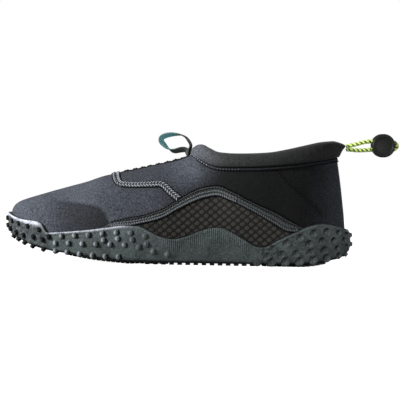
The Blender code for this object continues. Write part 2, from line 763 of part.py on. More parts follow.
def make_sole(parts, guides, rubber):
    """Rubber cup with its wavy edge, underside, studs and tread."""
    ring = ring_of(UPPER_RIBS)
    rows = sole_wall_rows(ring)
    mesh = bmesh.new()
    add_sheet(mesh, closed(np.stack(rows, 1)))
    add_sheet(mesh, ladder(rows[0], sole_belly))
    add_sheet(mesh, ladder(rows[-1], footbed))
    sole = finish("outsole", mesh, parts, rubber)
    grip = bmesh.new()
    for foot, direction in stud_places():
        add_stud(grip, foot, direction)
    forefoot = ((0, 0.6, 0.7, 1), (TREAD_INSET, TREAD_INSET, 0.021, 0.023))
    add_plate(grip, along_x(0.172), along_x(0.470), forefoot)
    add_plate(grip, along_x(0.745), along_x(0.935), ((0, 0.08, 1), (0.012, TREAD_INSET, TREAD_INSET)))
    add_lugs(grip)
    grips = finish("grips", grip, guides, None, weld=0.0)
    grips.hide_render = True
    grips.display_type = "WIRE"
    union = sole.modifiers.new("grips", "BOOLEAN")
    union.operation = "UNION"
    union.solver = "EXACT"
    union.use_self = True
    union.object = grips
    return sole


def make_insole(parts, foam):
    """Flat footbed that lies on the rubber floor inside the upper."""
    ring = ring_of(UPPER_RIBS)
    turn, side = np.abs(ring), np.where(ring < 0, -1.0, 1.0)
    x, y, out_x, out_y = outline(turn, side)
    inset = FOOTBED_TUCK + UPPER_WALL + 2 * INSOLE_GAP
    x, y = x - out_x * inset, y - out_y * inset
    low = np.stack([x, y, footbed(x) + INSOLE_GAP], -1)
    high = np.stack([x, y, footbed(x) + INSOLE_GAP + INSOLE_THICKNESS], -1)
    mesh = bmesh.new()
    add_sheet(mesh, closed(np.stack([low, high], 1)))
    add_sheet(mesh, ladder(low, lambda at: footbed(at) + INSOLE_GAP))
    add_sheet(mesh, ladder(high, lambda at: footbed(at) + INSOLE_GAP + INSOLE_THICKNESS))
    return finish("insole", mesh, parts, foam)


def table_line(rows, column, shares, size):
    """Height of a drawn line at shares of the last's length."""
    return level(shares, rows, column) * size


def patch(name, w, t, gap, thickness, parts, cloth):
    """Sheet that lies on the upper over a grid of places."""
    mesh = bmesh.new()
    add_sheet(mesh, offset(w, t, gap + 0 * t))
    piece = finish(name, mesh, parts, cloth)
    return thicken(piece, thickness, outside=True)


def between(side, shares, low, high, rows):
    """Places on the upper between two lines given by their heights."""
    x = along_x(shares)
    blend = np.linspace(0, 1, rows)[None, :]
    z = low[:, None] * (1 - blend) + high[:, None] * blend
    return locate(x[:, None] + 0 * z, z, side)


def side_trim(name, side, parts, cloth):
    """Raised trim that waves along the side above the sole."""
    shares = np.linspace(WAVE_TRIM[0][0], WAVE_TRIM[-1][0], 25)
    low = table_line(WAVE_TRIM, 1, shares, INSTEP_HEIGHT)
    high = table_line(WAVE_TRIM, 2, shares, INSTEP_HEIGHT)
    low = np.maximum(low, above_rubber(along_x(shares), side))
    high = np.maximum(high, low + 0.0006)
    w, t = between(side, shares, low, high, 3)
    return patch(name, w, t, TRIM_GAP, TRIM_THICKNESS, parts, cloth)


def mesh_panel(name, side, parts, cloth):
    """Mesh panel between the wavy trim and the edge of the sole."""
    shares = np.linspace(PANEL_START, PANEL_END, 19)
    high = table_line(WAVE_TRIM, 1, shares, INSTEP_HEIGHT) - 1.5 * FIT_GAP
    low = above_rubber(along_x(shares), side)
    high = np.maximum(high, low + 0.0006)
    w, t = between(side, shares, low, high, 4)
    return patch(name, w, t, FIT_GAP, PANEL_THICKNESS, parts, cloth)


def vamp_half(side):
    """Places of the vamp trim on one side, from its lower end to the ridge."""
    table = np.asarray(VAMP_TRIM)
    w, t = locate(along_x(table[:, 1]), table[:, 2] * INSTEP_HEIGHT, side)
    ridge_turns = np.linspace(0, THROAT_TURN, 200)
    crossing = np.interp(along_x(VAMP_CROSSING), rib_top(ridge_turns)[0], ridge_turns)
    steps = np.append(table[:, 0], 1.0)
    w = np.append(w, side * crossing)
    t = np.append(t, 1.0)
    at = np.linspace(0, 1, 14)
    rows = np.stack([steps, w, t], -1)
    return smooth(at, rows, 1), np.clip(smooth(at, rows, 2), 0, 1)


def vamp_trim(parts, cloth):
    """Band over the vamp, from one wavy trim to the other."""
    outer_w, outer_t = vamp_half(-1.0)
    inner_w, inner_t = vamp_half(1.0)
    w = np.concatenate([outer_w, inner_w[-2::-1]])
    t = np.concatenate([outer_t, inner_t[-2::-1]])
    middle, normal = surface(w, t), outward(w, t)
    ahead = np.gradient(middle, axis=0)
    across = np.cross(normal, ahead)
    across /= np.linalg.norm(across, axis=-1, keepdims=True)
    nearness = np.clip(1 - np.abs(np.linspace(-1, 1, len(w))) / 0.3, 0, 1)
    half = (BAND_WIDTH + (BAND_RIDGE_WIDTH - BAND_WIDTH) * nearness) / 2
    sheet = [middle + across * (share * half)[:, None] + normal * FIT_GAP for share in (-1, 0, 1)]
    mesh = bmesh.new()
    add_sheet(mesh, np.stack(sheet, 1))
    return thicken(finish("vamp_trim", mesh, parts, cloth), TRIM_THICKNESS, outside=True)


def gusset(parts, cloth):
    """Gathered stretch strip along the instep ridge."""
    shares = np.linspace(GUSSET_START, GUSSET_END, 16)
    ridge_turns = np.linspace(0, THROAT_TURN, 200)
    turns = np.interp(along_x(shares), rib_top(ridge_turns)[0], ridge_turns)
    climbs = np.linspace(0.5, 1.0, 80)
    lines = []
    for side, wide in ((-1, 1.0), (-1, 0.5), (1, 0.0), (1, 0.5), (1, 1.0)):
        ribs = surface(side * turns[:, None], climbs[None, :])
        centre = ribs[:, -1, 1]
        aside = np.abs(ribs[..., 1] - centre[:, None])
        t = np.array([np.interp(-wide * GUSSET_WIDTH / 2, -line, climbs) for line in aside])
        lines.append(offset(side * turns, t, FIT_GAP + 0 * t))
    mesh = bmesh.new()
    add_sheet(mesh, np.stack(lines, 1))
    return thicken(finish("instep_gusset", mesh, parts, cloth), GUSSET_THICKNESS, outside=True)


def collar_binding(parts, cloth):
    """Binding on the outside and top of the collar, drawn out to a beak at the back."""
    w = collar_ring(UPPER_RIBS)[:-1]
    seam, edge = surface(w, 1.0 + 0 * w), rim(w)
    up = edge - seam
    height = np.linalg.norm(up, axis=-1, keepdims=True)
    up = up / height
    around = np.roll((seam + edge) / 2, -1, axis=0) - np.roll((seam + edge) / 2, 1, axis=0)
    out = np.cross(up, around)
    out /= np.linalg.norm(out, axis=-1, keepdims=True)
    aside = np.abs(edge[:, 1:2])
    beak = BEAK_REACH * np.exp(-(2 * aside / BEAK_WIDTH) ** 2) * (np.abs(w) > 0.8)[:, None]
    over = 2 * FIT_GAP / height
    past = np.clip((np.abs(w)[:, None] - THROAT_TURN) / 0.05, 0, 1)
    body = BINDING_WALL * (0.4 + 0.6 * past)
    puff = BINDING_PUFF * past * past * (3 - 2 * past)
    section = [
        # climb           out                              beak
        (0.03, TRIM_GAP, 0.0),
        (0.05, TRIM_GAP + body, 0.0),
        (0.40, TRIM_GAP + body + puff, 0.35),
        (0.74, TRIM_GAP + body + puff, 1.0),
        (1.02, TRIM_GAP + 0.8 * body, 0.35),
        (1.0 + (2 * FIT_GAP + body) / height, -UPPER_WALL / 2, 0.0),
        (1.0 + over, -(UPPER_WALL + 2 * FIT_GAP), 0.0),
        (1.0 + over, TRIM_GAP, 0.0),
    ]
    lines = []
    for climb, reach, share in section:
        lines.append(seam + up * height * climb + out * (reach + beak * share))
    lines.append(lines[0])
    mesh = bmesh.new()
    add_sheet(mesh, closed(np.stack(lines, 1)))
    return finish("collar_binding", mesh, parts, cloth)


def smooth_path(points, count, ring=False):
    """Even points on a curve through the given ones."""
    points = np.asarray(points, float)
    if ring:
        points = np.concatenate([points[-3:], points, points[:4]])
    knots = np.arange(len(points), dtype=float)
    rows = np.concatenate([knots[:, None], points], -1)
    first, last = (3, len(points) - 4) if ring else (0, len(points) - 1)
    fine = np.linspace(first, last, 40 * (last - first) + 1)
    curve = np.stack([smooth(fine, rows, column) for column in range(1, rows.shape[1])], -1)
    way = np.concatenate([[0.0], np.cumsum(np.linalg.norm(np.diff(curve[:, :3], axis=0), axis=1))])
    at = np.linspace(0, way[-1], count)
    return np.stack([np.interp(at, way, curve[:, column]) for column in range(curve.shape[1])], -1)


def pull_tab(parts, cloth):
    """Twisted ribbon loop in front of the throat."""
    root = surface(THROAT_TURN, 1.0) + np.array([-TAB_ROOT_GAP, 0.0, TAB_ROOT_RISE])
    table = np.asarray(TAB_LOOP)
    places = np.stack([root[0] + table[:, 0], 0 * table[:, 0], root[2] + table[:, 1], table[:, 2]], -1)
    path = smooth_path(places, 37, ring=True)[:-1]
    middle, turn = path[:, :3], np.radians(path[:, 3])
    ahead = np.roll(middle, -1, axis=0) - np.roll(middle, 1, axis=0)
    ahead /= np.linalg.norm(ahead, axis=-1, keepdims=True)
    sideways = np.array([[0.0, 1.0, 0.0]]) + 0 * ahead
    face = np.cross(ahead, sideways)
    wide = sideways * np.cos(turn)[:, None] + face * np.sin(turn)[:, None]
    thick = np.cross(ahead, wide)
    lines = []
    for a, b in ((-1, -1), (1, -1), (1, 1), (-1, 1), (-1, -1)):
        lines.append(middle + wide * a * TAB_WIDTH / 2 + thick * b * TAB_THICKNESS / 2)
    mesh = bmesh.new()
    add_sheet(mesh, closed(np.stack(lines, 1)))
    return finish("pull_tab", mesh, parts, cloth)


def drawcord(parts, lime):
    """Elastic cord, out of the beak, through the stopper and back."""
    route = rim(np.array([1.0])) + np.asarray(CORD_ROUTE)
    way = np.linalg.norm(np.diff(route, axis=0), axis=1).sum()
    path = smooth_path(route, int(way / CORD_STEP) + 1)
    data = bpy.data.curves.new("drawcord", "CURVE")
    data.dimensions = "3D"
    data.bevel_depth = CORD_DIAMETER / 2
    data.bevel_resolution = 2
    data.use_fill_caps = True
    line = data.splines.new("POLY")
    line.points.add(len(path) - 1)
    for point, place in zip(line.points, path):
        point.co = (*place, 1.0)
    data.materials.append(lime)
    cord = bpy.data.objects.new("drawcord", data)
    parts.objects.link(cord)
    return cord


def stopper(parts, guides, plastic):
    """Round stopper with two bores that the cord runs through."""
    mesh = bmesh.new()
    centre = Vector(rim(np.array([1.0]))[0]) + Vector(STOPPER_PLACE)
    lay = Matrix.Translation(centre) @ Matrix.Rotation(math.radians(STOPPER_YAW), 4, "Z")
    lay = lay @ Matrix.Rotation(math.radians(90), 4, "X")
    bmesh.ops.create_cone(mesh, cap_ends=True, segments=24, radius1=STOPPER_DIAMETER / 2,
                          radius2=STOPPER_DIAMETER / 2, depth=STOPPER_THICKNESS)
    rims = [edge for edge in mesh.edges if max(len(face.verts) for face in edge.link_faces) > 4]
    bmesh.ops.bevel(mesh, geom=rims, offset=0.0014, segments=2, profile=0.6, affect="EDGES")
    bmesh.ops.transform(mesh, matrix=lay, verts=mesh.verts)
    disc = finish("toggle", mesh, parts, plastic)
    bores = bmesh.new()
    for side in (-1, 1):
        place = centre + Vector((0, 0, side * STRAND_SPACING / 2))
        bmesh.ops.create_cone(bores, cap_ends=True, segments=10, radius1=STOPPER_BORE / 2,
                              radius2=STOPPER_BORE / 2, depth=2 * STOPPER_DIAMETER,
                              matrix=Matrix.Translation(place) @ Matrix.Rotation(math.radians(90), 4, "Y"))
    cutter = finish("bores", bores, guides, None, weld=0.0)
    cutter.hide_render = True
    cutter.display_type = "WIRE"
    cut = disc.modifiers.new("bores", "BOOLEAN")
    cut.operation = "DIFFERENCE"
    cut.solver = "EXACT"
    cut.object = cutter
    return disc


def main():
    for item in list(bpy.data.objects):
        bpy.data.objects.remove(item, do_unlink=True)
    parts = bpy.data.collections.new("water_shoe")
    guides = bpy.data.collections.new("guides")
    for group in (parts, guides):
        bpy.context.scene.collection.children.link(group)
    cloth = material("neoprene", (0.10, 0.10, 0.115), 0.8)
    rubber = material("rubber", (0.14, 0.15, 0.15), 0.55)
    foam = material("foam", (0.03, 0.03, 0.035), 0.9)
    trim = material("trim", (0.30, 0.31, 0.33), 0.7)
    mesh_cloth = material("spacer_mesh", (0.09, 0.085, 0.075), 0.85)
    stretch = material("stretch_cloth", (0.02, 0.02, 0.025), 0.8)
    ribbon = material("ribbon", (0.12, 0.20, 0.20), 0.7)
    lime = material("cord_sheath", (0.55, 0.72, 0.12), 0.7)
    plastic = material("stopper_plastic", (0.02, 0.02, 0.02), 0.4)
    make_upper(parts, cloth)
    make_sole(parts, guides, rubber)
    make_insole(parts, foam)
    for name, side in (("lateral", -1.0), ("medial", 1.0)):
        side_trim("side_trim_" + name, side, parts, trim)
        mesh_panel("mesh_panel_" + name, side, parts, mesh_cloth)
    vamp_trim(parts, trim)
    gusset(parts, stretch)
    collar_binding(parts, cloth)
    pull_tab(parts, ribbon)
    drawcord(parts, lime)
    stopper(parts, guides, plastic)


main()
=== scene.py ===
import math
import bpy
import bmesh
import numpy as np
from mathutils import Matrix, Vector


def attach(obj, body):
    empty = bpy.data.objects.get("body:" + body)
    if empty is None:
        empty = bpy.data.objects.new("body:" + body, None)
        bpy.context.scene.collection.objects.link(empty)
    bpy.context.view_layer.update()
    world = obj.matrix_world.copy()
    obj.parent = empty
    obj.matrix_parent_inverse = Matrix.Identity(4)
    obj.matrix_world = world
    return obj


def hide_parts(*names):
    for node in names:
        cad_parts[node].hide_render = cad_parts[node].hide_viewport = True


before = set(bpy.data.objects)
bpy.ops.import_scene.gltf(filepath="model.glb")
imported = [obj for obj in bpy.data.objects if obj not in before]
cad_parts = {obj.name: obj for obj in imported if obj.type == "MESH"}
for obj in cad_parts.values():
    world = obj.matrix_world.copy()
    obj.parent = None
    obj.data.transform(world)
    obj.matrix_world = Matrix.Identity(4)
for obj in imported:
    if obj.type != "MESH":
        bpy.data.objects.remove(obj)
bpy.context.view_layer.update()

mm = 0.001

# The same last as the CAD: tables of shares, read along smooth curves
last = {
    "length": 0.2774, "ball": 0.092, "instep": 0.0901, "collar": 0.1016, "rim": 0.0349,
    "toeSpring": 0.0215, "heelSpring": 0.0120, "tread": 0.0016, "floor": 0.0048, "tuck": 0.0014,
    "heelBelly": -0.0034, "heelSwell": 0.0018, "gap": 0.0003, "wall": 0.0028, "rubber": 0.0022,
    # shares: width over which ribs are eased, footbed's rise to the sole's, where the tread starts and ends
    "ease": 0.07, "footbedRise": 0.86, "treadRun": (0.14, 0.18, 0.955, 0.985),
    # shares of the half round: where the heel belly grows, how far the throat's belly runs back
    "heelFrom": 0.78, "waistRun": 0.12,
    # along, outer, inner half width
    "outline": np.array([
        (0.000, -0.120, 0.120), (0.020, 0.070, 0.280), (0.060, 0.225, 0.385), (0.120, 0.333, 0.452),
        (0.200, 0.422, 0.487), (0.280, 0.475, 0.492), (0.360, 0.500, 0.474), (0.450, 0.490, 0.418),
        (0.550, 0.442, 0.350), (0.650, 0.393, 0.314), (0.750, 0.362, 0.314), (0.850, 0.340, 0.324),
        (0.920, 0.292, 0.295), (0.970, 0.200, 0.213), (1.000, -0.006, 0.006)]),
    # along, rise at the toe, rise at the heel
    "underside": np.array([
        (0.000, 1.000, 0.0), (0.018, 0.880, 0.0), (0.040, 0.735, 0.0), (0.065, 0.605, 0.0),
        (0.090, 0.505, 0.0), (0.122, 0.415, 0.0), (0.150, 0.345, 0.0), (0.185, 0.245, 0.0),
        (0.230, 0.150, 0.0), (0.278, 0.080, 0.0), (0.326, 0.030, 0.0), (0.366, 0.000, 0.0),
        (0.860, 0.0, 0.000), (0.896, 0.0, 0.075), (0.922, 0.0, 0.180), (0.945, 0.0, 0.315),
        (0.969, 0.0, 0.510), (0.985, 0.0, 0.720), (1.000, 0.0, 1.000)]),
    # from, along, aside, height, low and high handle, belly
    "ridge": np.array([
        (0.000, 0.0600, 0.070, 0.579, 0.740, 0.460, 0.022),
        (0.030, 0.0850, 0.066, 0.603, 0.700, 0.470, 0.024),
        (0.090, 0.1310, 0.060, 0.647, 0.640, 0.430, 0.028),
        (0.155, 0.1780, 0.052, 0.690, 0.600, 0.392, 0.032),
        (0.215, 0.2250, 0.044, 0.733, 0.570, 0.363, 0.034),
        (0.268, 0.2725, 0.036, 0.786, 0.550, 0.336, 0.036),
        (0.320, 0.3200, 0.028, 0.820, 0.540, 0.320, 0.038),
        (0.370, 0.3670, 0.020, 0.853, 0.530, 0.305, 0.038),
        (0.420, 0.4145, 0.012, 0.888, 0.520, 0.286, 0.036),
        (0.468, 0.4620, 0.005, 0.924, 0.510, 0.260, 0.030),
        (0.512, 0.5000, 0.000, 0.960, 0.500, 0.234, 0.024),
        (0.547, 0.5306, 0.000, 0.998, 0.490, 0.214, 0.018)]),
    # from, along, aside, height, slope, low and high handle, setback, rim's half width, rim's height
    "seam": np.array([
        (0.547, 0.5306, 0.000, 0.998, 0.0, 0.49, 0.214, -0.012, 0.000, 0.921),
        (0.565, 0.5405, 0.086, 0.983, 20.0, 0.46, 0.212, 0.004, 0.076, 0.941),
        (0.581, 0.5530, 0.130, 0.962, 34.0, 0.43, 0.220, 0.008, 0.112, 0.955),
        (0.597, 0.5680, 0.164, 0.938, 44.0, 0.415, 0.232, 0.011, 0.140, 0.953),
        (0.617, 0.5865, 0.200, 0.913, 53.0, 0.40, 0.245, 0.011, 0.171, 0.927),
        (0.639, 0.6082, 0.237, 0.894, 60.0, 0.39, 0.260, 0.008, 0.209, 0.898),
        (0.664, 0.6370, 0.274, 0.890, 66.0, 0.38, 0.275, 0.007, 0.248, 0.889),
        (0.700, 0.6767, 0.306, 0.893, 72.0, 0.37, 0.290, 0.003, 0.285, 0.887),
        (0.7415, 0.7235, 0.323, 0.899, 76.0, 0.36, 0.300, 0.001, 0.303, 0.892),
        (0.785, 0.7722, 0.322, 0.910, 79.0, 0.35, 0.310, 0.002, 0.304, 0.903),
        (0.830, 0.8208, 0.308, 0.927, 80.0, 0.34, 0.315, 0.007, 0.291, 0.928),
        (0.8785, 0.8695, 0.275, 0.946, 81.0, 0.33, 0.320, 0.010, 0.261, 0.959),
        (0.929, 0.9164, 0.213, 0.971, 82.0, 0.32, 0.320, 0.012, 0.202, 0.989),
        (0.9687, 0.9470, 0.137, 0.990, 82.0, 0.32, 0.320, 0.015, 0.130, 1.000),
        (0.990, 0.9600, 0.067, 0.999, 82.0, 0.32, 0.320, 0.017, 0.065, 1.003),
        (1.000, 0.9643, 0.000, 1.001, 82.0, 0.32, 0.320, 0.020, 0.000, 1.003)]),
    # along, upper edge of the rubber cup
    "edge": np.array([
        (0.000, 1.117), (0.008, 1.060), (0.019, 1.020), (0.046, 0.958), (0.084, 0.918), (0.098, 0.868),
        (0.1070, 0.755), (0.116, 0.678), (0.155, 0.696), (0.232, 0.751), (0.285, 0.811), (0.340, 0.870),
        (0.379, 0.856), (0.416, 0.736), (0.453, 0.619), (0.483, 0.587), (0.523, 0.656), (0.568, 0.797),
        (0.607, 0.862), (0.628, 0.850), (0.659, 0.751), (0.688, 0.628), (0.739, 0.446), (0.750, 0.446),
        (0.794, 0.613), (0.850, 0.828), (0.887, 0.946), (0.921, 1.000), (0.964, 0.951), (1.000, 0.860)]),
}


def hermite(at, knots, values, slopes):
    # cubic pieces between knots, with the slope given at each knot
    at = np.clip(np.asarray(at, float), knots[0], knots[-1])
    i = np.clip(np.searchsorted(knots, at, side="right") - 1, 0, len(knots) - 2)
    span = knots[i + 1] - knots[i]
    u = (at - knots[i]) / span
    rise = values[i + 1] - values[i]
    bend, back = slopes[i] * span - rise, rise - slopes[i + 1] * span
    return values[i] + u * rise + u * (1 - u) * ((1 - u) * bend + u * back)


def smooth(at, knots, values):
    # a smooth curve through the knots, its slope at each from the neighbours
    return hermite(at, np.asarray(knots), np.asarray(values), np.gradient(values, knots))


def level(at, knots, values):
    # like smooth, but never passes beyond a knot's value
    steps = np.diff(values) / np.diff(knots)
    same = steps[:-1] * steps[1:] > 0
    total = np.where(same, steps[:-1] + steps[1:], 1.0)
    slopes = np.zeros(len(knots))
    slopes[1:-1] = np.where(same, 2 * steps[:-1] * steps[1:] / total, 0.0)
    slopes[0], slopes[-1] = steps[0], steps[-1]
    return hermite(at, np.asarray(knots), np.asarray(values), slopes)


def fade(x, low, high):
    # 0 below low, 1 above high, an S curve between
    u = np.clip((x - low) / (high - low), 0, 1)
    return u * u * (3 - 2 * u)


def unit(vectors):
    return vectors / np.maximum(np.linalg.norm(vectors, axis=-1, keepdims=True), 1e-9)


def wayAlong(points):
    # distance from the first point to each, along the path
    return np.concatenate([[0.0], np.cumsum(np.linalg.norm(np.diff(points, axis=0), axis=1))])


def turnOf(share):
    # place on the half outline, 0 toe to 1 heel: cos(pi * turn) = 1 - 2 * share
    return np.arccos(1 - 2 * np.clip(np.asarray(share, float), 0, 1)) / math.pi


def alongX(share):
    # x of a share of the last's length, counted from the toe
    return (share - 0.5) * last["length"]


def shareAt(x):
    return x / last["length"] + 0.5


def underside(x):
    # height of the sole's underside: toe spring plus heel spring
    table = last["underside"]
    share = np.clip(shareAt(x), 0, 1)
    return (level(share, table[:, 0], table[:, 1]) * last["toeSpring"]
            + level(share, table[:, 0], table[:, 2]) * last["heelSpring"])


def soleBelly(x):
    # height of the cup's belly, above the tread where there is one
    return underside(x) + np.interp(shareAt(x), last["treadRun"], (0, 1, 1, 0)) * last["tread"]


def footbed(x):
    # height of the cup's floor inside
    return underside(x) * last["footbedRise"] + last["floor"]


def soleEdge(x):
    # height of the cup's wavy upper edge
    table = last["edge"]
    return level(np.clip(shareAt(x), 0, 1), table[:, 0], table[:, 1]) * last["rim"]


outlineTurns = turnOf(last["outline"][:, 0])
ridgeTurns = turnOf(last["ridge"][:, 0])
seamTurns = turnOf(last["seam"][:, 0])
throatTurn = seamTurns[0]


def outlineAt(turn, side):
    # outline of the upper from above and its outward direction, side -1 outer, 1 inner
    def point(t):
        t = np.clip(t, 0, 1)
        x = alongX((1 - np.cos(math.pi * t)) / 2)
        outer = -smooth(t, outlineTurns, last["outline"][:, 1])
        inner = smooth(t, outlineTurns, last["outline"][:, 2])
        return x, np.where(side < 0, outer, inner) * last["ball"]

    x, y = point(turn)
    (ax, ay), (bx, by) = point(turn + 1e-3), point(turn - 1e-3)
    dx, dy = ax - bx, ay - by
    size = np.hypot(dx, dy)
    return x, y, -side * dy / size, side * dx / size


def ridgeSlope(turn):
    # rise over run of the instep ridge
    low = np.clip(turn - 4e-3, 0, throatTurn - 8e-3)
    run = smooth(low + 8e-3, ridgeTurns, last["ridge"][:, 1]) - smooth(low, ridgeTurns, last["ridge"][:, 1])
    rise = smooth(low + 8e-3, ridgeTurns, last["ridge"][:, 3]) - smooth(low, ridgeTurns, last["ridge"][:, 3])
    return rise * last["instep"] / (run * last["length"])


def ribPoint(w, t):
    # outside of the upper: cubic rib from the footbed's outline, t = 0, to the ridge or collar seam, t = 1.
    # w runs round the outline: 0 toe tip, -1 and 1 heel, negative on the outer side
    w, t = np.broadcast_arrays(np.asarray(w, float), np.asarray(t, float))
    w = np.where(w > 1, w - 2, np.where(w < -1, w + 2, w))
    turn, side = np.abs(w), np.where(w < 0, -1.0, 1.0)
    x, y, outX, outY = outlineAt(turn, side)
    ridge = [smooth(turn, ridgeTurns, last["ridge"][:, c]) for c in range(1, 7)]
    seam = [smooth(turn, seamTurns, last["seam"][:, c]) for c in range(1, 7)]
    front = turn <= throatTurn
    topX = alongX(np.where(front, ridge[0], seam[0]))
    topY = np.where(front, ridge[1], side * seam[1]) * last["ball"]
    topZ = np.where(front, ridge[2], seam[2]) * last["instep"]
    slope = np.where(front, 0.0, np.radians(seam[3]))
    low, high = np.where(front, ridge[3], seam[4]), np.where(front, ridge[4], seam[5])
    back = fade(turn, last["heelFrom"], 1.0)
    waist = last["ridge"][-1, 6] * last["ball"] * np.clip(1 - (turn - throatTurn) / last["waistRun"], 0, 1)
    belly = np.where(front, ridge[5] * last["ball"], waist + last["heelBelly"] * back)
    foot = np.stack([x - outX * last["tuck"], y - outY * last["tuck"], footbed(x) + last["gap"]], -1)
    head = np.stack([topX, topY, topZ], -1)
    out = np.stack([outX, outY, 0 * outX], -1)
    spring = foot + out * (2 * last["tuck"] + belly)[..., None]
    spring[..., 2] += low * (head - foot)[..., 2]
    fall = ridgeSlope(turn) * outX * np.cos(slope) - np.sin(slope)
    arrive = np.stack([outX * np.cos(slope), outY * np.cos(slope), fall], -1)
    crown = head + arrive * (high * np.linalg.norm(head - foot, axis=-1))[..., None]
    t = t[..., None]
    return foot * (1 - t) ** 3 + spring * 3 * t * (1 - t) ** 2 + crown * 3 * t ** 2 * (1 - t) + head * t ** 3


def surface(w, t):
    # the same, with the ribs under the throat eased into each other by a weighted mean of their neighbours
    w, t = np.broadcast_arrays(np.asarray(w, float), np.asarray(t, float))
    near = np.clip(1 - np.abs(np.abs(w) - throatTurn) / last["ease"], 0, 1)
    reach = last["ease"] / 2 * near * fade(1 - t, 0, 0.25)
    points = ribPoint(w, t)
    eased = reach > 1e-5
    if eased.any():
        w, t, reach = w[eased], t[eased], reach[eased]
        steps = np.linspace(-1, 1, 9)
        shares = 1 + np.cos(math.pi * steps * 0.9)
        total = sum(share * ribPoint(w + step * reach, t) for step, share in zip(steps, shares))
        points = points.copy()
        points[eased] = total / shares.sum()
    return points


def rimAt(w):
    # upper edge of the upper's wall round the collar
    turn, side = np.abs(w), np.where(np.asarray(w) < 0, -1.0, 1.0)
    along, back, half, top = (smooth(turn, seamTurns, last["seam"][:, c]) for c in (1, 7, 8, 9))
    x = alongX(along) - back * last["ball"]
    return np.stack([x, side * half * last["ball"], top * last["collar"]], -1)


def outward(w, t):
    # unit normal of the surface, away from the foot
    w, t = np.broadcast_arrays(np.asarray(w, float), np.asarray(t, float))
    step = 2e-3
    mid = np.clip(t, step, 1 - 2 * step)
    normal = unit(np.cross(surface(w, mid + step) - surface(w, mid - step),
                           surface(w + step, mid) - surface(w - step, mid)))
    slope = ridgeSlope(np.abs(w))
    crest = unit(np.stack([-slope, 0 * slope, 1 + 0 * slope], -1))
    blend = (fade(t, 0.97, 1 - 2 * step) * (np.abs(w) <= throatTurn))[..., None]
    return unit(normal * (1 - blend) + crest * blend)


def climbTo(w, heights):
    # t on each rib where it first reaches the height given for its place x
    climbs = np.linspace(0, 1, 240)
    ribs = surface(np.asarray(w)[:, None], climbs[None, :])
    over = ribs[..., 2] - heights(ribs[..., 0])
    first = np.argmax(over > 0, axis=1)
    rows = np.arange(len(ribs))
    lo, hi = over[rows, first - 1], over[rows, first]
    return climbs[first - 1] + (climbs[1] - climbs[0]) * lo / (lo - hi)


fans = {}


def locate(x, z, side):
    # place (w, t) on the upper seen at x, z from one side
    x, z = np.broadcast_arrays(np.asarray(x, float), np.asarray(z, float))
    turns, climbs = np.linspace(0.002, 0.998, 300), np.linspace(0, 1, 200)
    if side not in fans:
        fans[side] = surface(side * turns[:, None], climbs[None, :])
    fan, flatX, flatZ = fans[side], x.ravel(), z.ravel()
    heights = np.array([np.interp(flatZ, rib[:, 2], climbs) for rib in fan])
    places = np.array([np.interp(h, climbs, rib[:, 0]) for h, rib in zip(heights, fan)])
    below = np.clip((places < flatX).sum(0) - 1, 0, len(turns) - 2)
    column = np.arange(len(flatX))
    a, b = places[below, column], places[below + 1, column]
    u = np.clip((flatX - a) / np.where(np.abs(b - a) < 1e-9, 1e-9, b - a), 0, 1)
    turn = turns[below] * (1 - u) + turns[below + 1] * u
    t = heights[below, column] * (1 - u) + heights[below + 1, column] * u
    return (side * turn).reshape(x.shape), t.reshape(x.shape)


def noise(x, y, seed, waves=5):
    # soft pattern from -1 to 1: a sum of sine waves with fixed odd directions
    total = 0.0
    for k in range(waves):
        angle = seed * 1.7 + k * 2.399
        total = total + np.sin((x * math.cos(angle) + y * math.sin(angle)) * (1 + 0.37 * k) + seed * (k + 1))
    return total / waves


def meshObject(name, verts, faces, mats, attrs=None, faceMats=None, sharp=None):
    # an object from arrays: points, faces, materials, and values per point
    data = bpy.data.meshes.new(name)
    data.from_pydata(verts.tolist(), [], faces.tolist())
    for m in mats:
        data.materials.append(m)
    if faceMats is not None:
        data.polygons.foreach_set("material_index", np.asarray(faceMats, np.int32))
    for key, values in (attrs or {}).items():
        layer = data.attributes.new(key, "FLOAT", "POINT")
        layer.data.foreach_set("value", np.asarray(values, np.float32).ravel())
    data.shade_smooth()
    if sharp:
        data.set_sharp_from_angle(angle=math.radians(sharp))
    obj = bpy.data.objects.new(name, data)
    bpy.context.scene.collection.objects.link(obj)
    return obj


def gridFaces(rows, columns, closeRows=False, closeColumns=False, start=0):
    # four-sided faces of a grid numbered row by row
    i = np.arange(rows if closeRows else rows - 1)[:, None]
    j = np.arange(columns if closeColumns else columns - 1)[None, :]
    i2, j2 = (i + 1) % rows, (j + 1) % columns
    corners = (i * columns + j, i * columns + j2, i2 * columns + j2, i2 * columns + j)
    return np.stack(np.broadcast_arrays(*corners), -1).reshape(-1, 4) + start


def copiesOf(faces, count, size):
    # the same faces for count copies of a piece with size points each
    return (faces[None] + (np.arange(count) * size)[:, None, None]).reshape(-1, 4)


def gridObject(name, grid, mats, attrs=None, closeRows=False, closeColumns=False, sharp=None, flip=False):
    rows, columns = grid.shape[:2]
    faces = gridFaces(rows, columns, closeRows, closeColumns)
    return meshObject(name, grid.reshape(-1, 3), faces[:, ::-1] if flip else faces, mats, attrs, sharp=sharp)


def outwardFaces(obj, weld=0.0):
    # join points nearer than weld and turn every face outward
    work = bmesh.new()
    work.from_mesh(obj.data)
    if weld:
        bmesh.ops.remove_doubles(work, verts=work.verts, dist=weld)
    bmesh.ops.recalc_face_normals(work, faces=work.faces)
    work.to_mesh(obj.data)
    work.free()


def ringAcross(line, columns, height):
    # grid between the two halves of a ring of points, at the height given for each place x
    half = len(line) // 2 + 1
    mirror = (-np.arange(half)) % len(line)
    share = np.linspace(0, 1, columns)[None, :, None]
    sheet = line[:half, None] * (1 - share) + line[mirror][:, None] * share
    sheet[..., 2] = height(sheet[..., 0])
    return sheet


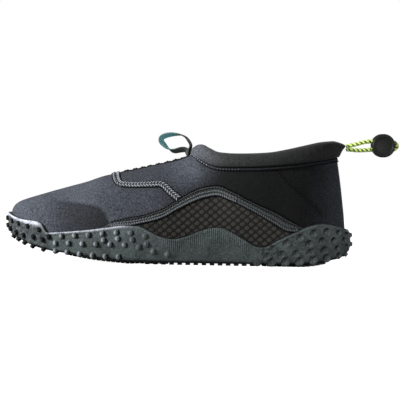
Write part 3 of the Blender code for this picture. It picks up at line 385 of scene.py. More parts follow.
def tubWithSheets(tub, *sheets):
    # points and faces of a closed band of rows and of the sheets that close it below and above
    faces, start = [], 0
    for grid in (tub, *sheets):
        faces.append(gridFaces(*grid.shape[:2], closeColumns=grid is tub, start=start))
        start += grid.shape[0] * grid.shape[1]
    return np.concatenate([grid.reshape(-1, 3) for grid in (tub, *sheets)]), np.concatenate(faces)


def evenPath(points, count, ring=False):
    # even points on a smooth curve through the given ones
    points = np.asarray(points, float)
    if ring:
        points = np.concatenate([points[-3:], points, points[:4]])
    knots = np.arange(len(points), dtype=float)
    first, final = (3, len(points) - 4) if ring else (0, len(points) - 1)
    fine = np.linspace(first, final, 60 * (final - first) + 1)
    curve = np.stack([smooth(fine, knots, points[:, c]) for c in range(points.shape[1])], -1)
    way = wayAlong(curve[:, :3])
    at = np.linspace(0, way[-1], count)
    return np.stack([np.interp(at, way, curve[:, c]) for c in range(curve.shape[1])], -1)


def placePath(x, z, side, count):
    # even places (w, t) on the upper along a line drawn in the side view
    path = evenPath(np.stack([x, z], -1), count)
    return locate(path[:, 0], path[:, 1], side)


def lineGap(x, z, line):
    # signed distance to a drawn line, positive on its left, in the side view
    best = np.full(x.shape, 1.0)
    sign = np.ones(x.shape)
    for (ax, az), (bx, bz) in zip(line[:-1], line[1:]):
        dx, dz = bx - ax, bz - az
        u = np.clip(((x - ax) * dx + (z - az) * dz) / (dx * dx + dz * dz), 0, 1)
        ex, ez = x - ax - u * dx, z - az - u * dz
        gap = np.hypot(ex, ez)
        nearer = gap < best
        best = np.where(nearer, gap, best)
        sign = np.where(nearer, np.sign(dx * ez - dz * ex), sign)
    return best * sign


def alongRows(rows, at):
    # points between given rows, on a smooth curve through them; at counts rows from 0
    slopes = np.gradient(rows, axis=0)
    i = np.clip(np.floor(at).astype(int), 0, len(rows) - 2)
    u = (at - i)[(slice(None),) + (None,) * (rows.ndim - 1)]
    rise = rows[i + 1] - rows[i]
    bend, back = slopes[i] - rise, rise - slopes[i + 1]
    return rows[i] + u * rise + u * (1 - u) * ((1 - u) * bend + u * back)


# materials

def addNode(tree, kind, inputs=None, **settings):
    # a node with its settings; each input takes a value or the socket that feeds it
    item = tree.nodes.new(kind)
    for key, value in settings.items():
        setattr(item, key, value)
    for key, value in (inputs or {}).items():
        if isinstance(value, bpy.types.NodeSocket):
            tree.links.new(value, item.inputs[key])
        else:
            item.inputs[key].default_value = value
    return item


def makeGroup(name, inputs, outputs):
    group = bpy.data.node_groups.new(name, "ShaderNodeTree")
    for key, kind, value in inputs:
        socket = group.interface.new_socket(name=key, in_out="INPUT", socket_type=kind)
        if value is not None:
            socket.default_value = value
    for key, kind in outputs:
        group.interface.new_socket(name=key, in_out="OUTPUT", socket_type=kind)
    return group, group.nodes.new("NodeGroupInput"), group.nodes.new("NodeGroupOutput")


def mixColours(tree, share, first, second, blend="MIX"):
    mix = addNode(tree, "ShaderNodeMix", {"Factor": share, "A": first, "B": second}, data_type="RGBA",
                  blend_type=blend)
    return mix.outputs["Result"]


def calculate(tree, operation, *values):
    # a sum on numbers or sockets, such as MULTIPLY, or MULTIPLY_ADD for a * b + c
    return addNode(tree, "ShaderNodeMath", dict(enumerate(values)), operation=operation).outputs[0]


# fine knit of a jersey-faced foam: a tone that wanders, and a bump of small loops
clothGrain, grainIn, grainOut = makeGroup(
    "clothGrain",
    [("Position", "NodeSocketVector", None), ("Loops", "NodeSocketFloat", 1400.0),
     ("Depth", "NodeSocketFloat", 0.3)],
    [("Tone", "NodeSocketFloat"), ("Normal", "NodeSocketVector")])
place, loops = grainIn.outputs["Position"], grainIn.outputs["Loops"]
broad = addNode(clothGrain, "ShaderNodeTexNoise", {"Vector": place, "Scale": 55.0, "Detail": 3.0}).outputs[0]
fine = addNode(clothGrain, "ShaderNodeTexNoise", {"Vector": place, "Scale": loops, "Detail": 2.0}).outputs[0]
cells = addNode(clothGrain, "ShaderNodeTexVoronoi", {"Vector": place, "Scale": loops})
knit = calculate(clothGrain, "MULTIPLY_ADD", fine, 0.6, cells.outputs["Distance"])
bump = addNode(clothGrain, "ShaderNodeBump",
               {"Height": knit, "Strength": grainIn.outputs["Depth"], "Distance": 0.0004})
tone = calculate(clothGrain, "MULTIPLY_ADD", fine, 0.84, calculate(clothGrain, "MULTIPLY", broad, 0.16))
clothGrain.links.new(tone, grainOut.inputs["Tone"])
clothGrain.links.new(bump.outputs["Normal"], grainOut.inputs["Normal"])

# moulded rubber: faint flow marks and dust, a slightly uneven skin
rubberSkin, skinIn, skinOut = makeGroup(
    "rubberSkin",
    [("Position", "NodeSocketVector", None), ("Depth", "NodeSocketFloat", 0.25),
     ("Height", "NodeSocketFloat", 0.0)],
    [("Tone", "NodeSocketFloat"), ("Normal", "NodeSocketVector")])
place = skinIn.outputs["Position"]
broad = addNode(rubberSkin, "ShaderNodeTexNoise", {"Vector": place, "Scale": 90.0, "Detail": 5.0}).outputs[0]
fine = addNode(rubberSkin, "ShaderNodeTexNoise", {"Vector": place, "Scale": 900.0, "Detail": 2.0}).outputs[0]
raised = calculate(rubberSkin, "ADD", fine, skinIn.outputs["Height"])
bump = addNode(rubberSkin, "ShaderNodeBump",
               {"Height": raised, "Strength": skinIn.outputs["Depth"], "Distance": 0.0004})
tone = addNode(rubberSkin, "ShaderNodeMix", {"Factor": 0.6, "A": broad, "B": fine}, data_type="FLOAT")
rubberSkin.links.new(tone.outputs["Result"], skinOut.inputs["Tone"])
rubberSkin.links.new(bump.outputs["Normal"], skinOut.inputs["Normal"])


def shadeMaterial(name, group, low, high, roughness, inputs, tintsAndPaintedLight=None, grain=0.3, spread=0.2, **sockets):
    # a shader whose colour runs from low to high with the group's tone, then towards each given colour with
    # the attribute of that name (real colours, and painted light and shade), then up and down by grain with
    # the tone's last spread
    shade = bpy.data.materials.new(name)
    shade.use_nodes = True
    tree = shade.node_tree
    shader = tree.nodes["Principled BSDF"]
    shader.inputs["Roughness"].default_value = roughness
    for key, value in sockets.items():
        shader.inputs[key.replace("_", " ")].default_value = value
    place = addNode(tree, "ShaderNodeTexCoord")
    skin = addNode(tree, "ShaderNodeGroup", node_tree=group)
    for key, value in inputs.items():
        skin.inputs[key].default_value = value
    tree.links.new(place.outputs["Object"], skin.inputs["Position"])
    tree.links.new(skin.outputs["Normal"], shader.inputs["Normal"])
    tone = skin.outputs["Tone"]
    colour = mixColours(tree, tone, (*low, 1.0), (*high, 1.0))
    for key, tint in (tintsAndPaintedLight or {}).items():
        value = addNode(tree, "ShaderNodeAttribute", attribute_name=key)
        colour = mixColours(tree, value.outputs["Fac"], colour, (*tint, 1.0))
    speck = addNode(tree, "ShaderNodeMapRange",
                    {"Value": tone, "From Min": 0.5 - spread, "From Max": 0.5 + spread,
                     "To Min": 1 - grain, "To Max": 1 + grain})
    colour = mixColours(tree, 1.0, colour, speck.outputs["Result"], "MULTIPLY")
    tree.links.new(colour, shader.inputs["Base Color"])
    return shade


def addRibs(shade, attribute, pitch, contrast):
    # fine upright ribs, sin(2 * pi * x / pitch), where the attribute is 1: height for the bump, and a tint
    # that paints the crests lighter and the troughs darker, painted shade
    tree = shade.node_tree
    place = addNode(tree, "ShaderNodeTexCoord")
    parts = addNode(tree, "ShaderNodeSeparateXYZ", {0: place.outputs["Object"]})
    mask = addNode(tree, "ShaderNodeAttribute", attribute_name=attribute)
    wave = calculate(tree, "SINE", calculate(tree, "MULTIPLY", parts.outputs["X"], 2 * math.pi / pitch))
    height = calculate(tree, "MULTIPLY", wave, mask.outputs["Fac"])
    skin = next(item for item in tree.nodes if item.type == "GROUP")
    tree.links.new(height, skin.inputs["Height"])
    base = tree.nodes["Principled BSDF"].inputs["Base Color"]
    tint = calculate(tree, "MULTIPLY_ADD", height, contrast, 1.0)
    tree.links.new(mixColours(tree, 1.0, base.links[0].from_socket, tint, "MULTIPLY"), base)


cloth = {"Loops": 820.0, "Depth": 0.6}
threadYarn = {"Loops": 2600.0, "Depth": 0.3}
# lit: pale bluish painted light where the light falls; dark: dark seam lines and painted shade in crevices
neoprene = shadeMaterial("neoprene", clothGrain, (0.0022, 0.0025, 0.0024), (0.0048, 0.0053, 0.0052), 0.85,
                         cloth, {"lit": (0.072, 0.081, 0.101), "dark": (0.001, 0.001, 0.001)}, grain=0.7,
                         Sheen_Weight=0.03, Sheen_Roughness=0.5, Specular_IOR_Level=0.15)
bindingCloth = shadeMaterial("bindingCloth", clothGrain, (0.010, 0.011, 0.011), (0.018, 0.019, 0.019), 0.75,
                             cloth, {"lit": (0.075, 0.083, 0.096), "dark": (0.002, 0.002, 0.002)}, grain=0.7,
                             Sheen_Weight=0.10, Sheen_Roughness=0.5, Specular_IOR_Level=0.25)
lining = shadeMaterial("lining", clothGrain, (0.016, 0.016, 0.018), (0.040, 0.040, 0.044), 0.9, cloth,
                       Specular_IOR_Level=0.2)
stretch = shadeMaterial("stretch", clothGrain, (0.004, 0.004, 0.005), (0.012, 0.012, 0.013), 0.8,
                        {"Loops": 900.0, "Depth": 0.6}, Specular_IOR_Level=0.2)
# pale: pale threads and painted highlight on the trims' ridges; dark: painted shade in their grooves, and
# dark lines
bandCloth = shadeMaterial("bandCloth", clothGrain, (0.024, 0.028, 0.027), (0.050, 0.057, 0.056), 0.75,
                          {"Loops": 800.0, "Depth": 0.6},
                          {"pale": (0.17, 0.185, 0.205), "dark": (0.004, 0.004, 0.005)}, grain=0.4,
                          Specular_IOR_Level=0.3)
# dot: the raised dots' paler colour; dark: the dark ground between dots, and painted shade along the panel's
# edges
meshCloth = shadeMaterial("meshCloth", clothGrain, (0.010, 0.0095, 0.008), (0.018, 0.017, 0.014), 0.8,
                          {"Loops": 1300.0, "Depth": 0.4},
                          {"dot": (0.040, 0.038, 0.033), "dark": (0.004, 0.004, 0.004)},
                          Specular_IOR_Level=0.25)
thread = shadeMaterial("thread", clothGrain, (0.0012, 0.0012, 0.0015), (0.0035, 0.0035, 0.0042), 0.8,
                       threadYarn, Specular_IOR_Level=0.08)
greyThread = shadeMaterial("greyThread", clothGrain, (0.060, 0.069, 0.074), (0.155, 0.172, 0.185), 0.6,
                           threadYarn, Specular_IOR_Level=0.4)
# a darker copy of the grey thread for stitches towards the heel: painted shade
shadedThread = shadeMaterial("shadedThread", clothGrain, (0.036, 0.042, 0.043), (0.088, 0.099, 0.103), 0.6,
                          threadYarn, Specular_IOR_Level=0.3)
paleThread = shadeMaterial("paleThread", clothGrain, (0.19, 0.21, 0.24), (0.38, 0.41, 0.46), 0.6,
                           threadYarn, Specular_IOR_Level=0.4)
# pale mark: painted highlight on the lip, the bumper's tip and the studs' lit sides, with some wear; dark
# mark: painted shade and shadow, and a dark mould line
rubber = shadeMaterial("rubber", rubberSkin, (0.040, 0.051, 0.050), (0.065, 0.080, 0.079), 0.60,
                       {"Depth": 0.45}, {"highlightAndWear": (0.57, 0.585, 0.68), "dark": (0.003, 0.0035, 0.0035)},
                       grain=0.48, spread=0.13, Specular_IOR_Level=0.20)
addRibs(rubber, "ribbed", 1.7 * mm, 0.30)
# its pale mark is a painted highlight on the studs' lit side
studRubber = shadeMaterial("studRubber", rubberSkin, (0.0030, 0.0034, 0.0034), (0.0060, 0.0068, 0.0068), 0.7,
                           {"Depth": 0.45}, {"highlightAndWear": (0.45, 0.46, 0.50)}, Specular_IOR_Level=0.12)
treadRubber = shadeMaterial("treadRubber", rubberSkin, (0.010, 0.012, 0.012), (0.024, 0.027, 0.027), 0.65,
                            {"Depth": 0.3}, Specular_IOR_Level=0.3)
foam = shadeMaterial("foam", clothGrain, (0.020, 0.020, 0.022), (0.045, 0.045, 0.050), 0.95,
                     {"Loops": 900.0, "Depth": 0.5})
ribbon = shadeMaterial("ribbon", clothGrain, (0.050, 0.056, 0.051), (0.100, 0.110, 0.102), 0.75,
                       {"Loops": 1100.0, "Depth": 0.6},
                       {"teal": (0.19, 0.47, 0.48), "dark": (0.010, 0.012, 0.011)}, Specular_IOR_Level=0.3)
cordSheath = shadeMaterial("cordSheath", clothGrain, (0.55, 0.80, 0.14), (0.78, 0.95, 0.30), 0.65,
                           {"Loops": 1800.0, "Depth": 0.4}, {"fleck": (0.012, 0.018, 0.006)}, grain=0.15)
stopperPlastic = shadeMaterial("stopperPlastic", rubberSkin, (0.0065, 0.0080, 0.0062), (0.011, 0.013, 0.0105),
                               0.5, {"Depth": 0.12}, grain=0.08, Specular_IOR_Level=0.22)
print("scene: materials ready")


weldGap = 2e-6  # metres, points closer than this are one


def dress(obj, slotName, *nodes):
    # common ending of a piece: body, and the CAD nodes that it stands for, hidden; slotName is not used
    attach(obj, "root")
    if nodes:
        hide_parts(*nodes)
    return obj


# the upper: outer skin, its real wall, listed creases

upperLook = {
    "columns": 440, "rows": 84, "collarRows": 10,
    # side view, x and z in mm
    "toeArc": [(-105.6, 55.7), (-98.9, 51.8), (-89.0, 50.3), (-78.3, 49.3), (-70.0, 48.3), (-63.3, 46.0),
               (-59.1, 41.1), (-55.6, 33.8)],
    "heelSeam": [(76.4, 81.5), (87.1, 69.8), (102.6, 56.0), (110.0, 49.0), (116.1, 43.0)],
    # soft troughs and ridges: middle x, z, along x, along z, width across, height, in mm
    "creases": [
        (6.0, 76.0, 9.0, -7.0, 5.0, -0.5), (-14.0, 71.0, 16.0, -5.0, 6.0, 0.35),
        (24.0, 70.0, 10.0, -9.0, 6.0, -0.35), (104.0, 60.0, -3.0, 10.0, 6.0, -0.45),
        (118.0, 66.0, 1.0, 9.0, 5.0, 0.4), (-90.0, 42.0, 16.0, 2.0, 7.0, -0.3),
        (-30.0, 48.0, 14.0, 4.0, 6.0, -0.25), (52.0, 68.0, 14.0, -3.0, 7.0, 0.3)],
    # depths: step at the toe arc, groove of the heel seam and its half width, slack of the cloth
    "toeStep": 0.55 * mm, "seamDepth": 0.35 * mm, "seamWidth": 0.8 * mm, "slack": 0.12 * mm,
}


def upperRelief(x, z):
    # height = sum of creases exp(-along^2 - across^2) - toe arc's step - heel seam's groove + slack
    look = upperLook
    gap = -lineGap(x, z, np.array(look["toeArc"]) * mm)
    relief = -look["toeStep"] * fade(gap, -0.5 * mm, 4 * mm) * (1 - fade(gap, 9 * mm, 24 * mm))
    relief = relief * fade(x, -0.128, -0.100)
    for cx, cz, dx, dz, width, height in look["creases"]:
        size = math.hypot(dx, dz)
        along = ((x / mm - cx) * dx + (z / mm - cz) * dz) / size
        across = ((z / mm - cz) * dx - (x / mm - cx) * dz) / size
        relief = relief + height * mm * np.exp(-(along / size) ** 2 - (across / width) ** 2)
    seam = np.abs(lineGap(x, z, np.array(look["heelSeam"]) * mm))
    relief = relief - look["seamDepth"] * np.exp(-(seam / look["seamWidth"]) ** 2)
    return relief + look["slack"] * noise(x / (14 * mm), z / (9 * mm), 3.1)


def litness(x, z):
    # painted light from 0 to 1 by place: forefoot and throat paler than the quarter as if lit, the quarter in
    # painted shade, the toe below its arc darker as painted shade, a faint random mottle, the back of the
    # heel a little paler as painted light
    low = (1 - fade(x, -0.030, 0.022)) * (0.56 + 0.24 * (1 - fade(x, -0.078, -0.046)))
    high = (1 - fade(x - 0.45 * (z - 0.070), 0.006, 0.036)) * 0.45
    high = high + 0.42 * np.exp(-((x - 0.006) / 0.015) ** 2 - ((z - 0.078) / 0.012) ** 2)
    upper = fade(z, 0.048, 0.070) * fade(x, -0.058, -0.040)
    under = fade(-lineGap(x, z, np.array(upperLook["toeArc"]) * mm), 0.0, 2.5 * mm) * fade(x, -0.120, -0.084)
    grainy = 0.04 * noise(x / (9 * mm), z / (7 * mm), 2.2) * (1 - fade(x, 0.0, 0.03))
    heel = 0.34 * fade(x, 0.100, 0.140)
    return np.clip(low * (1 - upper) + high * upper - 0.56 * under + grainy + heel, 0, 1)


def makeUpper():
    # skin = surface(w, t) + outward(w, t) * relief; the collar's wall runs straight from the seam to the rim
    look = upperLook
    turns = np.unique(np.concatenate([np.linspace(0, 1, look["columns"] // 2 + 1), [throatTurn]]))
    ring = np.concatenate([-turns, turns[-2:0:-1]])
    t = 1 - (1 - np.linspace(0, 1, look["rows"])) ** 1.15
    base = surface(ring[:, None], t[None, :])
    calm = fade(t[None, :], 0.0, 0.05) * (1 - fade(t[None, :], 0.96, 1.0))
    relief = upperRelief(base[..., 0], base[..., 2]) * calm
    grid = base + outward(ring[:, None], t[None, :]) * relief[..., None]
    behind = turns[turns >= throatTurn]
    collarRing = np.concatenate([behind, -behind[-2::-1]])
    share = np.linspace(0, 1, look["collarRows"])[None, :, None]
    wall = surface(collarRing, 1.0)[:, None] * (1 - share) + rimAt(collarRing)[:, None] * share
    verts = np.concatenate([grid.reshape(-1, 3), wall.reshape(-1, 3)])
    faces = np.concatenate([gridFaces(*grid.shape[:2], closeRows=True),
                            gridFaces(*wall.shape[:2], start=grid.shape[0] * grid.shape[1])])
    seamGap = np.abs(lineGap(verts[:, 0], verts[:, 2], np.array(look["heelSeam"]) * mm))
    # lit: painted light from litness; dark: a dark line along the heel seam
    attrs = {"lit": litness(verts[:, 0], verts[:, 2]), "dark": np.exp(-(seamGap / (0.9 * mm)) ** 2) * 0.8}
    skin = meshObject("upperShell", verts, faces, [neoprene, lining], attrs)
    outwardFaces(skin, weldGap)
    solid = skin.modifiers.new("wall", "SOLIDIFY")
    solid.thickness = last["wall"]
    solid.offset = -1.0
    solid.material_offset = 1
    return dress(skin, "neoprene", "upper")


upperShell = makeUpper()
print("scene: upper", len(upperShell.data.polygons))


# the rubber cup: belly, wall with its wavy lip, bumper, fine ribs, studs, tread
soleLook = {
    "columns": 640, "wallRows": 54, "lipRows": 10, "bumper": 0.9 * mm, "bumperEnd": -0.1060,
    "ribs": (-0.020, -0.008, 0.052, 0.064), "ribsHeight": (0.38, 0.75), "mouldLine": 0.0688,
    "bead": 0.22 * mm, "studRadius": 1.85 * mm, "studHeight": 2.1 * mm, "studRound": 0.55 * mm, "skirt": 1.5,
    # share of the half outline from, pitch, count, share of the wall's height at first, middle, last
    "studs": [
        (0.0175, 0.0330, 5, 0.78, 0.80, 0.74), (0.0, 0.0330, 5, 0.46, 0.35, 0.40),
        (0.1590, 0.0362, 10, 0.43, 0.49, 0.34), (0.0240, 0.0337, 11, 0.07, 0.06, 0.12),
        (0.1770, 0.0357, 8, 0.79, 0.83, 0.80), (0.3230, 0.0362, 4, 0.62, 0.64, 0.58),
        (0.7570, 0.0347, 8, 0.74, 0.81, 0.80), (0.8496, 0.0330, 4, 0.55, 0.57, 0.60),
        (0.7430, 0.0367, 8, 0.45, 0.32, 0.46), (0.7170, 0.0360, 8, 0.10, 0.12, 0.13)],
    "treadInset": 5.6 * mm, "lugs": 14, "lugPitch": 6.6 * mm, "lugLength": 3.8 * mm, "lugWidth": 13.0 * mm,
    # from, to as shares of the last, bars, insets of the edges at shares of the plate's length
    "plates": [(0.172, 0.470, 21, ((0, 0.6, 0.7, 1), (5.6 * mm, 5.6 * mm, 21 * mm, 23 * mm))),
               (0.745, 0.935, 13, ((0, 0.08, 1), (12 * mm, 5.6 * mm, 5.6 * mm)))],
    "lugStart": 0.409, "barShare": 0.80, "barWave": 0.9 * mm,
    # lines of the belly: inset from the outline in metres, share of the height up to the wall's foot
    "belly": ((0.0052, 0.0), (0.0024, 0.10), (0.0006, 0.48)), "lipHeight": 0.0007, "leastWall": 0.004,
    # depth under the wavy edge and half width
    "beadLine": (0.9 * mm, 0.8 * mm), "grooveLine": (2.6 * mm, 0.7 * mm),
}


def wallRows(ring):
    # lines of the cup from its belly, up the wall and over the lip, down to the floor
    look, outside = soleLook, last["gap"] + last["rubber"]
    edge = climbTo(ring, soleEdge)
    swell = last["heelSwell"] * fade(np.abs(ring), 0.8, 1.0)
    foot = surface(ring, 0.0) + outward(ring, 0.0) * (outside + swell / 2)[:, None]
    _, _, outX, outY = outlineAt(np.abs(ring), np.where(ring < 0, -1.0, 1.0))
    out = np.stack([outX, outY, 0 * outX], -1)
    rows = []
    for inset, share in look["belly"]:
        row = foot - out * inset
        belly = soleBelly(row[:, 0])
        row[:, 2] = belly + (foot[:, 2] - belly) * share
        rows.append(row)
    lip = look["lipHeight"] / np.maximum(surface(ring, edge)[:, 2] - foot[:, 2], look["leastWall"])
    thin = last["gap"] + 0.6 * last["rubber"]
    for climb, gap, puff in ((0 * edge, outside, 0.5), (edge * 0.5, outside, 1.0),
                             (edge * (1 - lip), outside, 0.4), (edge, thin, 0.0), (edge, last["gap"], 0.0),
                             (edge * 0.5, last["gap"], 0.0), (0 * edge, last["gap"], 0.0)):
        rows.append(surface(ring, climb) + outward(ring, climb) * (gap + puff * swell)[:, None])
    rows[-1][:, 2] = footbed(rows[-1][:, 0])
    return np.stack(rows, 0)


def wallPoint(w, high):
    # points on the rubber wall, high being a share of its height
    w = np.where(w > 1, w - 2, np.where(w < -1, w + 2, w))
    lines = wallRows(w)[:7]
    reach = lines[..., 2] - lines[:1, :, 2]
    spots = [[np.interp(share * rise[-1], rise, line[:, axis]) for axis in range(3)]
             for line, rise, share in zip(lines.transpose(1, 0, 2), reach.T, high)]
    return np.array(spots)


def arcTurns(shares):
    # places on the half outline at shares of its length
    turns = np.linspace(0, 1, 801)
    x, y, _, _ = outlineAt(turns, -1.0 + 0 * turns)
    way = wayAlong(np.stack([x, y], -1))
    return np.interp(shares, way / way[-1], turns)


def studFrames():
    # foot points and directions of the studs
    places = []
    for start, pitch, count, first, middle, final in soleLook["studs"]:
        step = np.arange(count) / (count - 1)
        share = start + pitch * np.arange(count)
        high = first + (final - first) * step + 4 * (middle - (first + final) / 2) * step * (1 - step)
        turns = arcTurns(np.minimum(share, 1.0))
        for side in (-1, 1):
            places += [(side * t, h) for t, h in zip(turns, high) if side < 0 or 1e-4 < t < 1 - 1e-4]
    w, high = np.array(places).T
    centre, above = wallPoint(w, high), wallPoint(w, high + 0.04)
    around = wallPoint(w + 2e-3, high) - wallPoint(w - 2e-3, high)
    return centre, unit(np.cross(above - centre, around))


def turnedCopies(outline, centres, axes, turns=20, wide=1.0, tall=1.0):
    # one copy on each centre: centre + (across * cos + third * sin) * radius * wide + axis * height * tall
    wide, tall = (np.broadcast_to(size, len(centres))[:, None, None, None] for size in (wide, tall))
    angle = np.linspace(0, 2 * math.pi, turns, endpoint=False)
    helper = np.where(np.abs(axes[:, 2:]) < 0.9, [[0.0, 0.0, 1.0]], [[1.0, 0.0, 0.0]])
    across = unit(np.cross(helper, axes))
    third = np.cross(axes, across)
    circle = across[:, None] * np.cos(angle)[None, :, None] + third[:, None] * np.sin(angle)[None, :, None]
    profile = np.asarray(outline)
    grid = (centres[:, None, None] + circle[:, None] * profile[None, :, None, :1] * wide
            + axes[:, None, None] * profile[None, :, None, 1:2] * tall)
    faces = gridFaces(len(profile), turns, closeColumns=True)
    return grid.reshape(-1, 3), copiesOf(faces, len(centres), len(profile) * turns)


def solePaint(x, z, high, front, outerSide):
    # pale: painted highlight on the lip and the bumper's tip with mottled wear, a thin painted highlight
    # along the wavy edge, a faint pale patch on the wave's crest; dark: a mould line, painted shade on the
    # inner side and at the foot of the wall, and mottled darkening of the bumper's ground
    speck = 0.5 + 0.5 * noise(x / (1.3 * mm), z / (1.1 * mm), 7.7, 7)
    tip, turned = 1 - fade(x, -0.134, -0.104), 1 - fade(x, -0.1175, -0.1125)
    lipLine = fade(high, 0.80, 0.95) * (0.22 + 0.78 * turned)
    highlightAndWear = front * np.maximum(lipLine, 0.20 * tip * speck ** 2 + 0.02) * (0.30 + 1.1 * speck)
    thin = np.exp(-((soleEdge(x) - z) / (0.8 * mm)) ** 2) * (0.3 + 0.9 * speck)
    highlightAndWear = highlightAndWear + (1 - front) * thin * (0.03 + 0.72 * (1 - fade(x, -0.060, -0.030)))
    crestPatch = fade(x, -0.062, -0.045) * (1 - fade(x, -0.022, -0.004)) * fade(high, 0.25, 0.7)
    highlightAndWear = highlightAndWear + 0.02 * crestPatch * (0.6 + speck)
    seam = np.exp(-((x - soleLook["mouldLine"]) / (0.35 * mm)) ** 2) * 0.7
    foot = 0.75 * (1 - fade(high, 0.02, 0.16)) + 0.25 * fade(x, 0.070, 0.100) * (1 - fade(high, 0.10, 0.45))
    ground = 0.75 * front * (1 - fade(high, 0.70, 0.85)) * (1 - speck)
    return np.clip(highlightAndWear, 0, 1) * outerSide, np.clip(seam + (1 - outerSide) * 0.6 + foot + ground, 0, 1)


def makeSole():
    # rows of the wall eased into each other, pushed outward by bumper + bead - groove; flat grids close the
    # belly and the floor
    look = soleLook
    turns = np.linspace(0, 1, look["columns"] // 2 + 1)
    rows = wallRows(np.concatenate([-turns, turns[-2:0:-1]]))
    out = rows[3] - rows[-1]
    out[:, 2] = 0
    out = unit(out)
    outer = alongRows(rows[:6], np.linspace(0, 5, look["wallRows"]))
    lip = alongRows(rows[4:9], np.linspace(1, 4, 3 * look["lipRows"])[1:])
    skin = np.concatenate([outer, lip, rows[-1:]], 0)
    x, z = skin[..., 0], skin[..., 2]
    top, low = soleEdge(x), soleBelly(x)
    high = np.clip((z - low) / (top - low), 0, 1)
    wallShare = np.concatenate([np.linspace(0, 1, look["wallRows"]), np.ones(len(lip)), [1.0]])[:, None]
    outerSide = (np.arange(len(skin)) < look["wallRows"] + 6)[:, None]
    front = 1 - fade(x, look["bumperEnd"] - 1.5 * mm, look["bumperEnd"] + 1.0 * mm)
    bulge = look["bumper"] * front * fade(high, 0.35, 0.85) * outerSide
    ribs = look["ribs"]
    waist = fade(x, ribs[0], ribs[1]) * (1 - fade(x, ribs[2], ribs[3]))
    ribbed = waist * fade(high, *look["ribsHeight"]) * outerSide
    bead, groove = (look["bead"] * np.exp(-((top - z - depth) / width) ** 2) * (1 - front)
                    for depth, width in (look["beadLine"], look["grooveLine"]))
    groove = -groove * (1 - waist)
    skin = skin + out[None] * ((bulge + (bead + groove) * outerSide * fade(wallShare, 0.3, 0.5))[..., None])
    highlightAndWear, dark = solePaint(x, z, high, front, outerSide)
    verts, faces = tubWithSheets(skin, ringAcross(skin[0], 26, soleBelly), ringAcross(skin[-1], 26, footbed))
    # the belly and floor sheets are painted dark: painted shade under the sole and inside the cup
    rest = np.zeros(len(verts) - highlightAndWear.size)
    attrs = {key: np.concatenate([values.ravel(), rest + hidden])
             for key, values, hidden in (("highlightAndWear", highlightAndWear, 0.0), ("dark", dark, 0.8), ("ribbed", ribbed, 0.0))}
    cup = meshObject("soleCup", verts, faces, [rubber], attrs)
    outwardFaces(cup, weldGap)
    return dress(cup, "rubber", "outsole")


def makeStuds():
    # bumper: dark round studs; elsewhere studs with a skirt, the shaded side and the cast shadow on the skirt
    # painted dark (painted shade and shadow), the lit side painted pale (painted highlight).
    # knob = side line, quarter circle of studRound, flat top, spun about the wall's normal
    look = soleLook
    centre, axis = studFrames()
    radius, height, bow = look["studRadius"], look["studHeight"], look["studRound"]
    knob = [(radius * 0.92 - bow * (1 - math.cos(b)), height - bow * (1 - math.sin(b)))
            for b in np.linspace(0, math.pi / 2, 6)]
    knob += [(0.25 * mm, height + 0.02 * mm), (1e-6, height + 0.02 * mm)]
    skirt = [(radius * (look["skirt"] + 0.06), -0.5 * mm), (radius * look["skirt"], 0.42 * mm)]
    x = centre[:, 0]
    onBumper = x < look["bumperEnd"]
    rear, middle = fade(x, 0.04, 0.08), 1 - fade(x, 0.118, 0.134)
    wide = 1 + 0.36 * rear * middle + 0.12 * onBumper
    tall = 1 - 0.48 * fade(x, -0.060, -0.045) * middle
    pieces = []
    for name, pick, foot, kind in (
            ("bumperStuds", onBumper, [(radius * 1.12, -0.5 * mm), (radius, 0.25 * mm)], studRubber),
            ("wallStuds", ~onBumper, skirt + [(radius * 1.12, 0.45 * mm), (radius, 0.60 * mm)], rubber)):
        lifted = centre[pick] + axis[pick] * (0.5 * mm * onBumper[pick])[:, None]
        verts, faces = turnedCopies(foot + knob, lifted, axis[pick], wide=wide[pick], tall=tall[pick])
        verts[:, 2] = np.maximum(verts[:, 2], 0.0)
        each = len(verts) // pick.sum()
        size = np.repeat(radius * wide[pick], each)
        across = (verts[:, 0] - np.repeat(lifted[:, 0], each)) / size
        upward = (verts[:, 2] - np.repeat(lifted[:, 2], each)) / size
        back, place = np.repeat(rear[pick], each), np.repeat(x[pick], each)
        # painted shade on each stud's right side and painted shadow on its skirt; on the heel, painted shade
        # in arcs at the upper left; the pale mark paints a highlight on the lit side
        shaded = (1 - back) * fade(across, 0.30, 0.75) * (1 - 0.5 * fade(place, -0.05, -0.02))
        dark = 0.97 * np.maximum(shaded, back * fade(upward - across, 0.42, 0.80))
        highlightAndWear = (1 - fade(across, -0.8, -0.1)) * (1 - back) * (0.42 - 0.34 * fade(place, -0.065, -0.025))
        highlightAndWear = highlightAndWear + back * 0.09 * fade(across - upward, 0.1, 0.9)
        highlightAndWear = np.where(np.hypot(across, upward) > 1.06, 0.02, highlightAndWear)
        # bumper studs: a small painted highlight low on the left
        if kind is studRubber:
            highlightAndWear = 0.16 * (1 - fade(across, -0.9, -0.5)) * fade(-upward, -0.4, 0.4)
        studs = meshObject(name, verts, faces, [kind], {"highlightAndWear": highlightAndWear, "dark": dark})
        pieces.append(dress(studs, "rubber"))
    return pieces


def plateEdges(start, end, insets, rows):
    # x and the two edges of a tread plate, each inset from the outline
    x = np.linspace(start, end, rows)
    edges = []
    for side in (-1.0, 1.0):
        px, py, _, outY = outlineAt(turnOf(shareAt(x)), side + 0 * x)
        inset = np.interp(np.linspace(0, 1, rows), *insets)
        edges.append(np.stack([px, py - outY * inset], -1))
    return x, edges


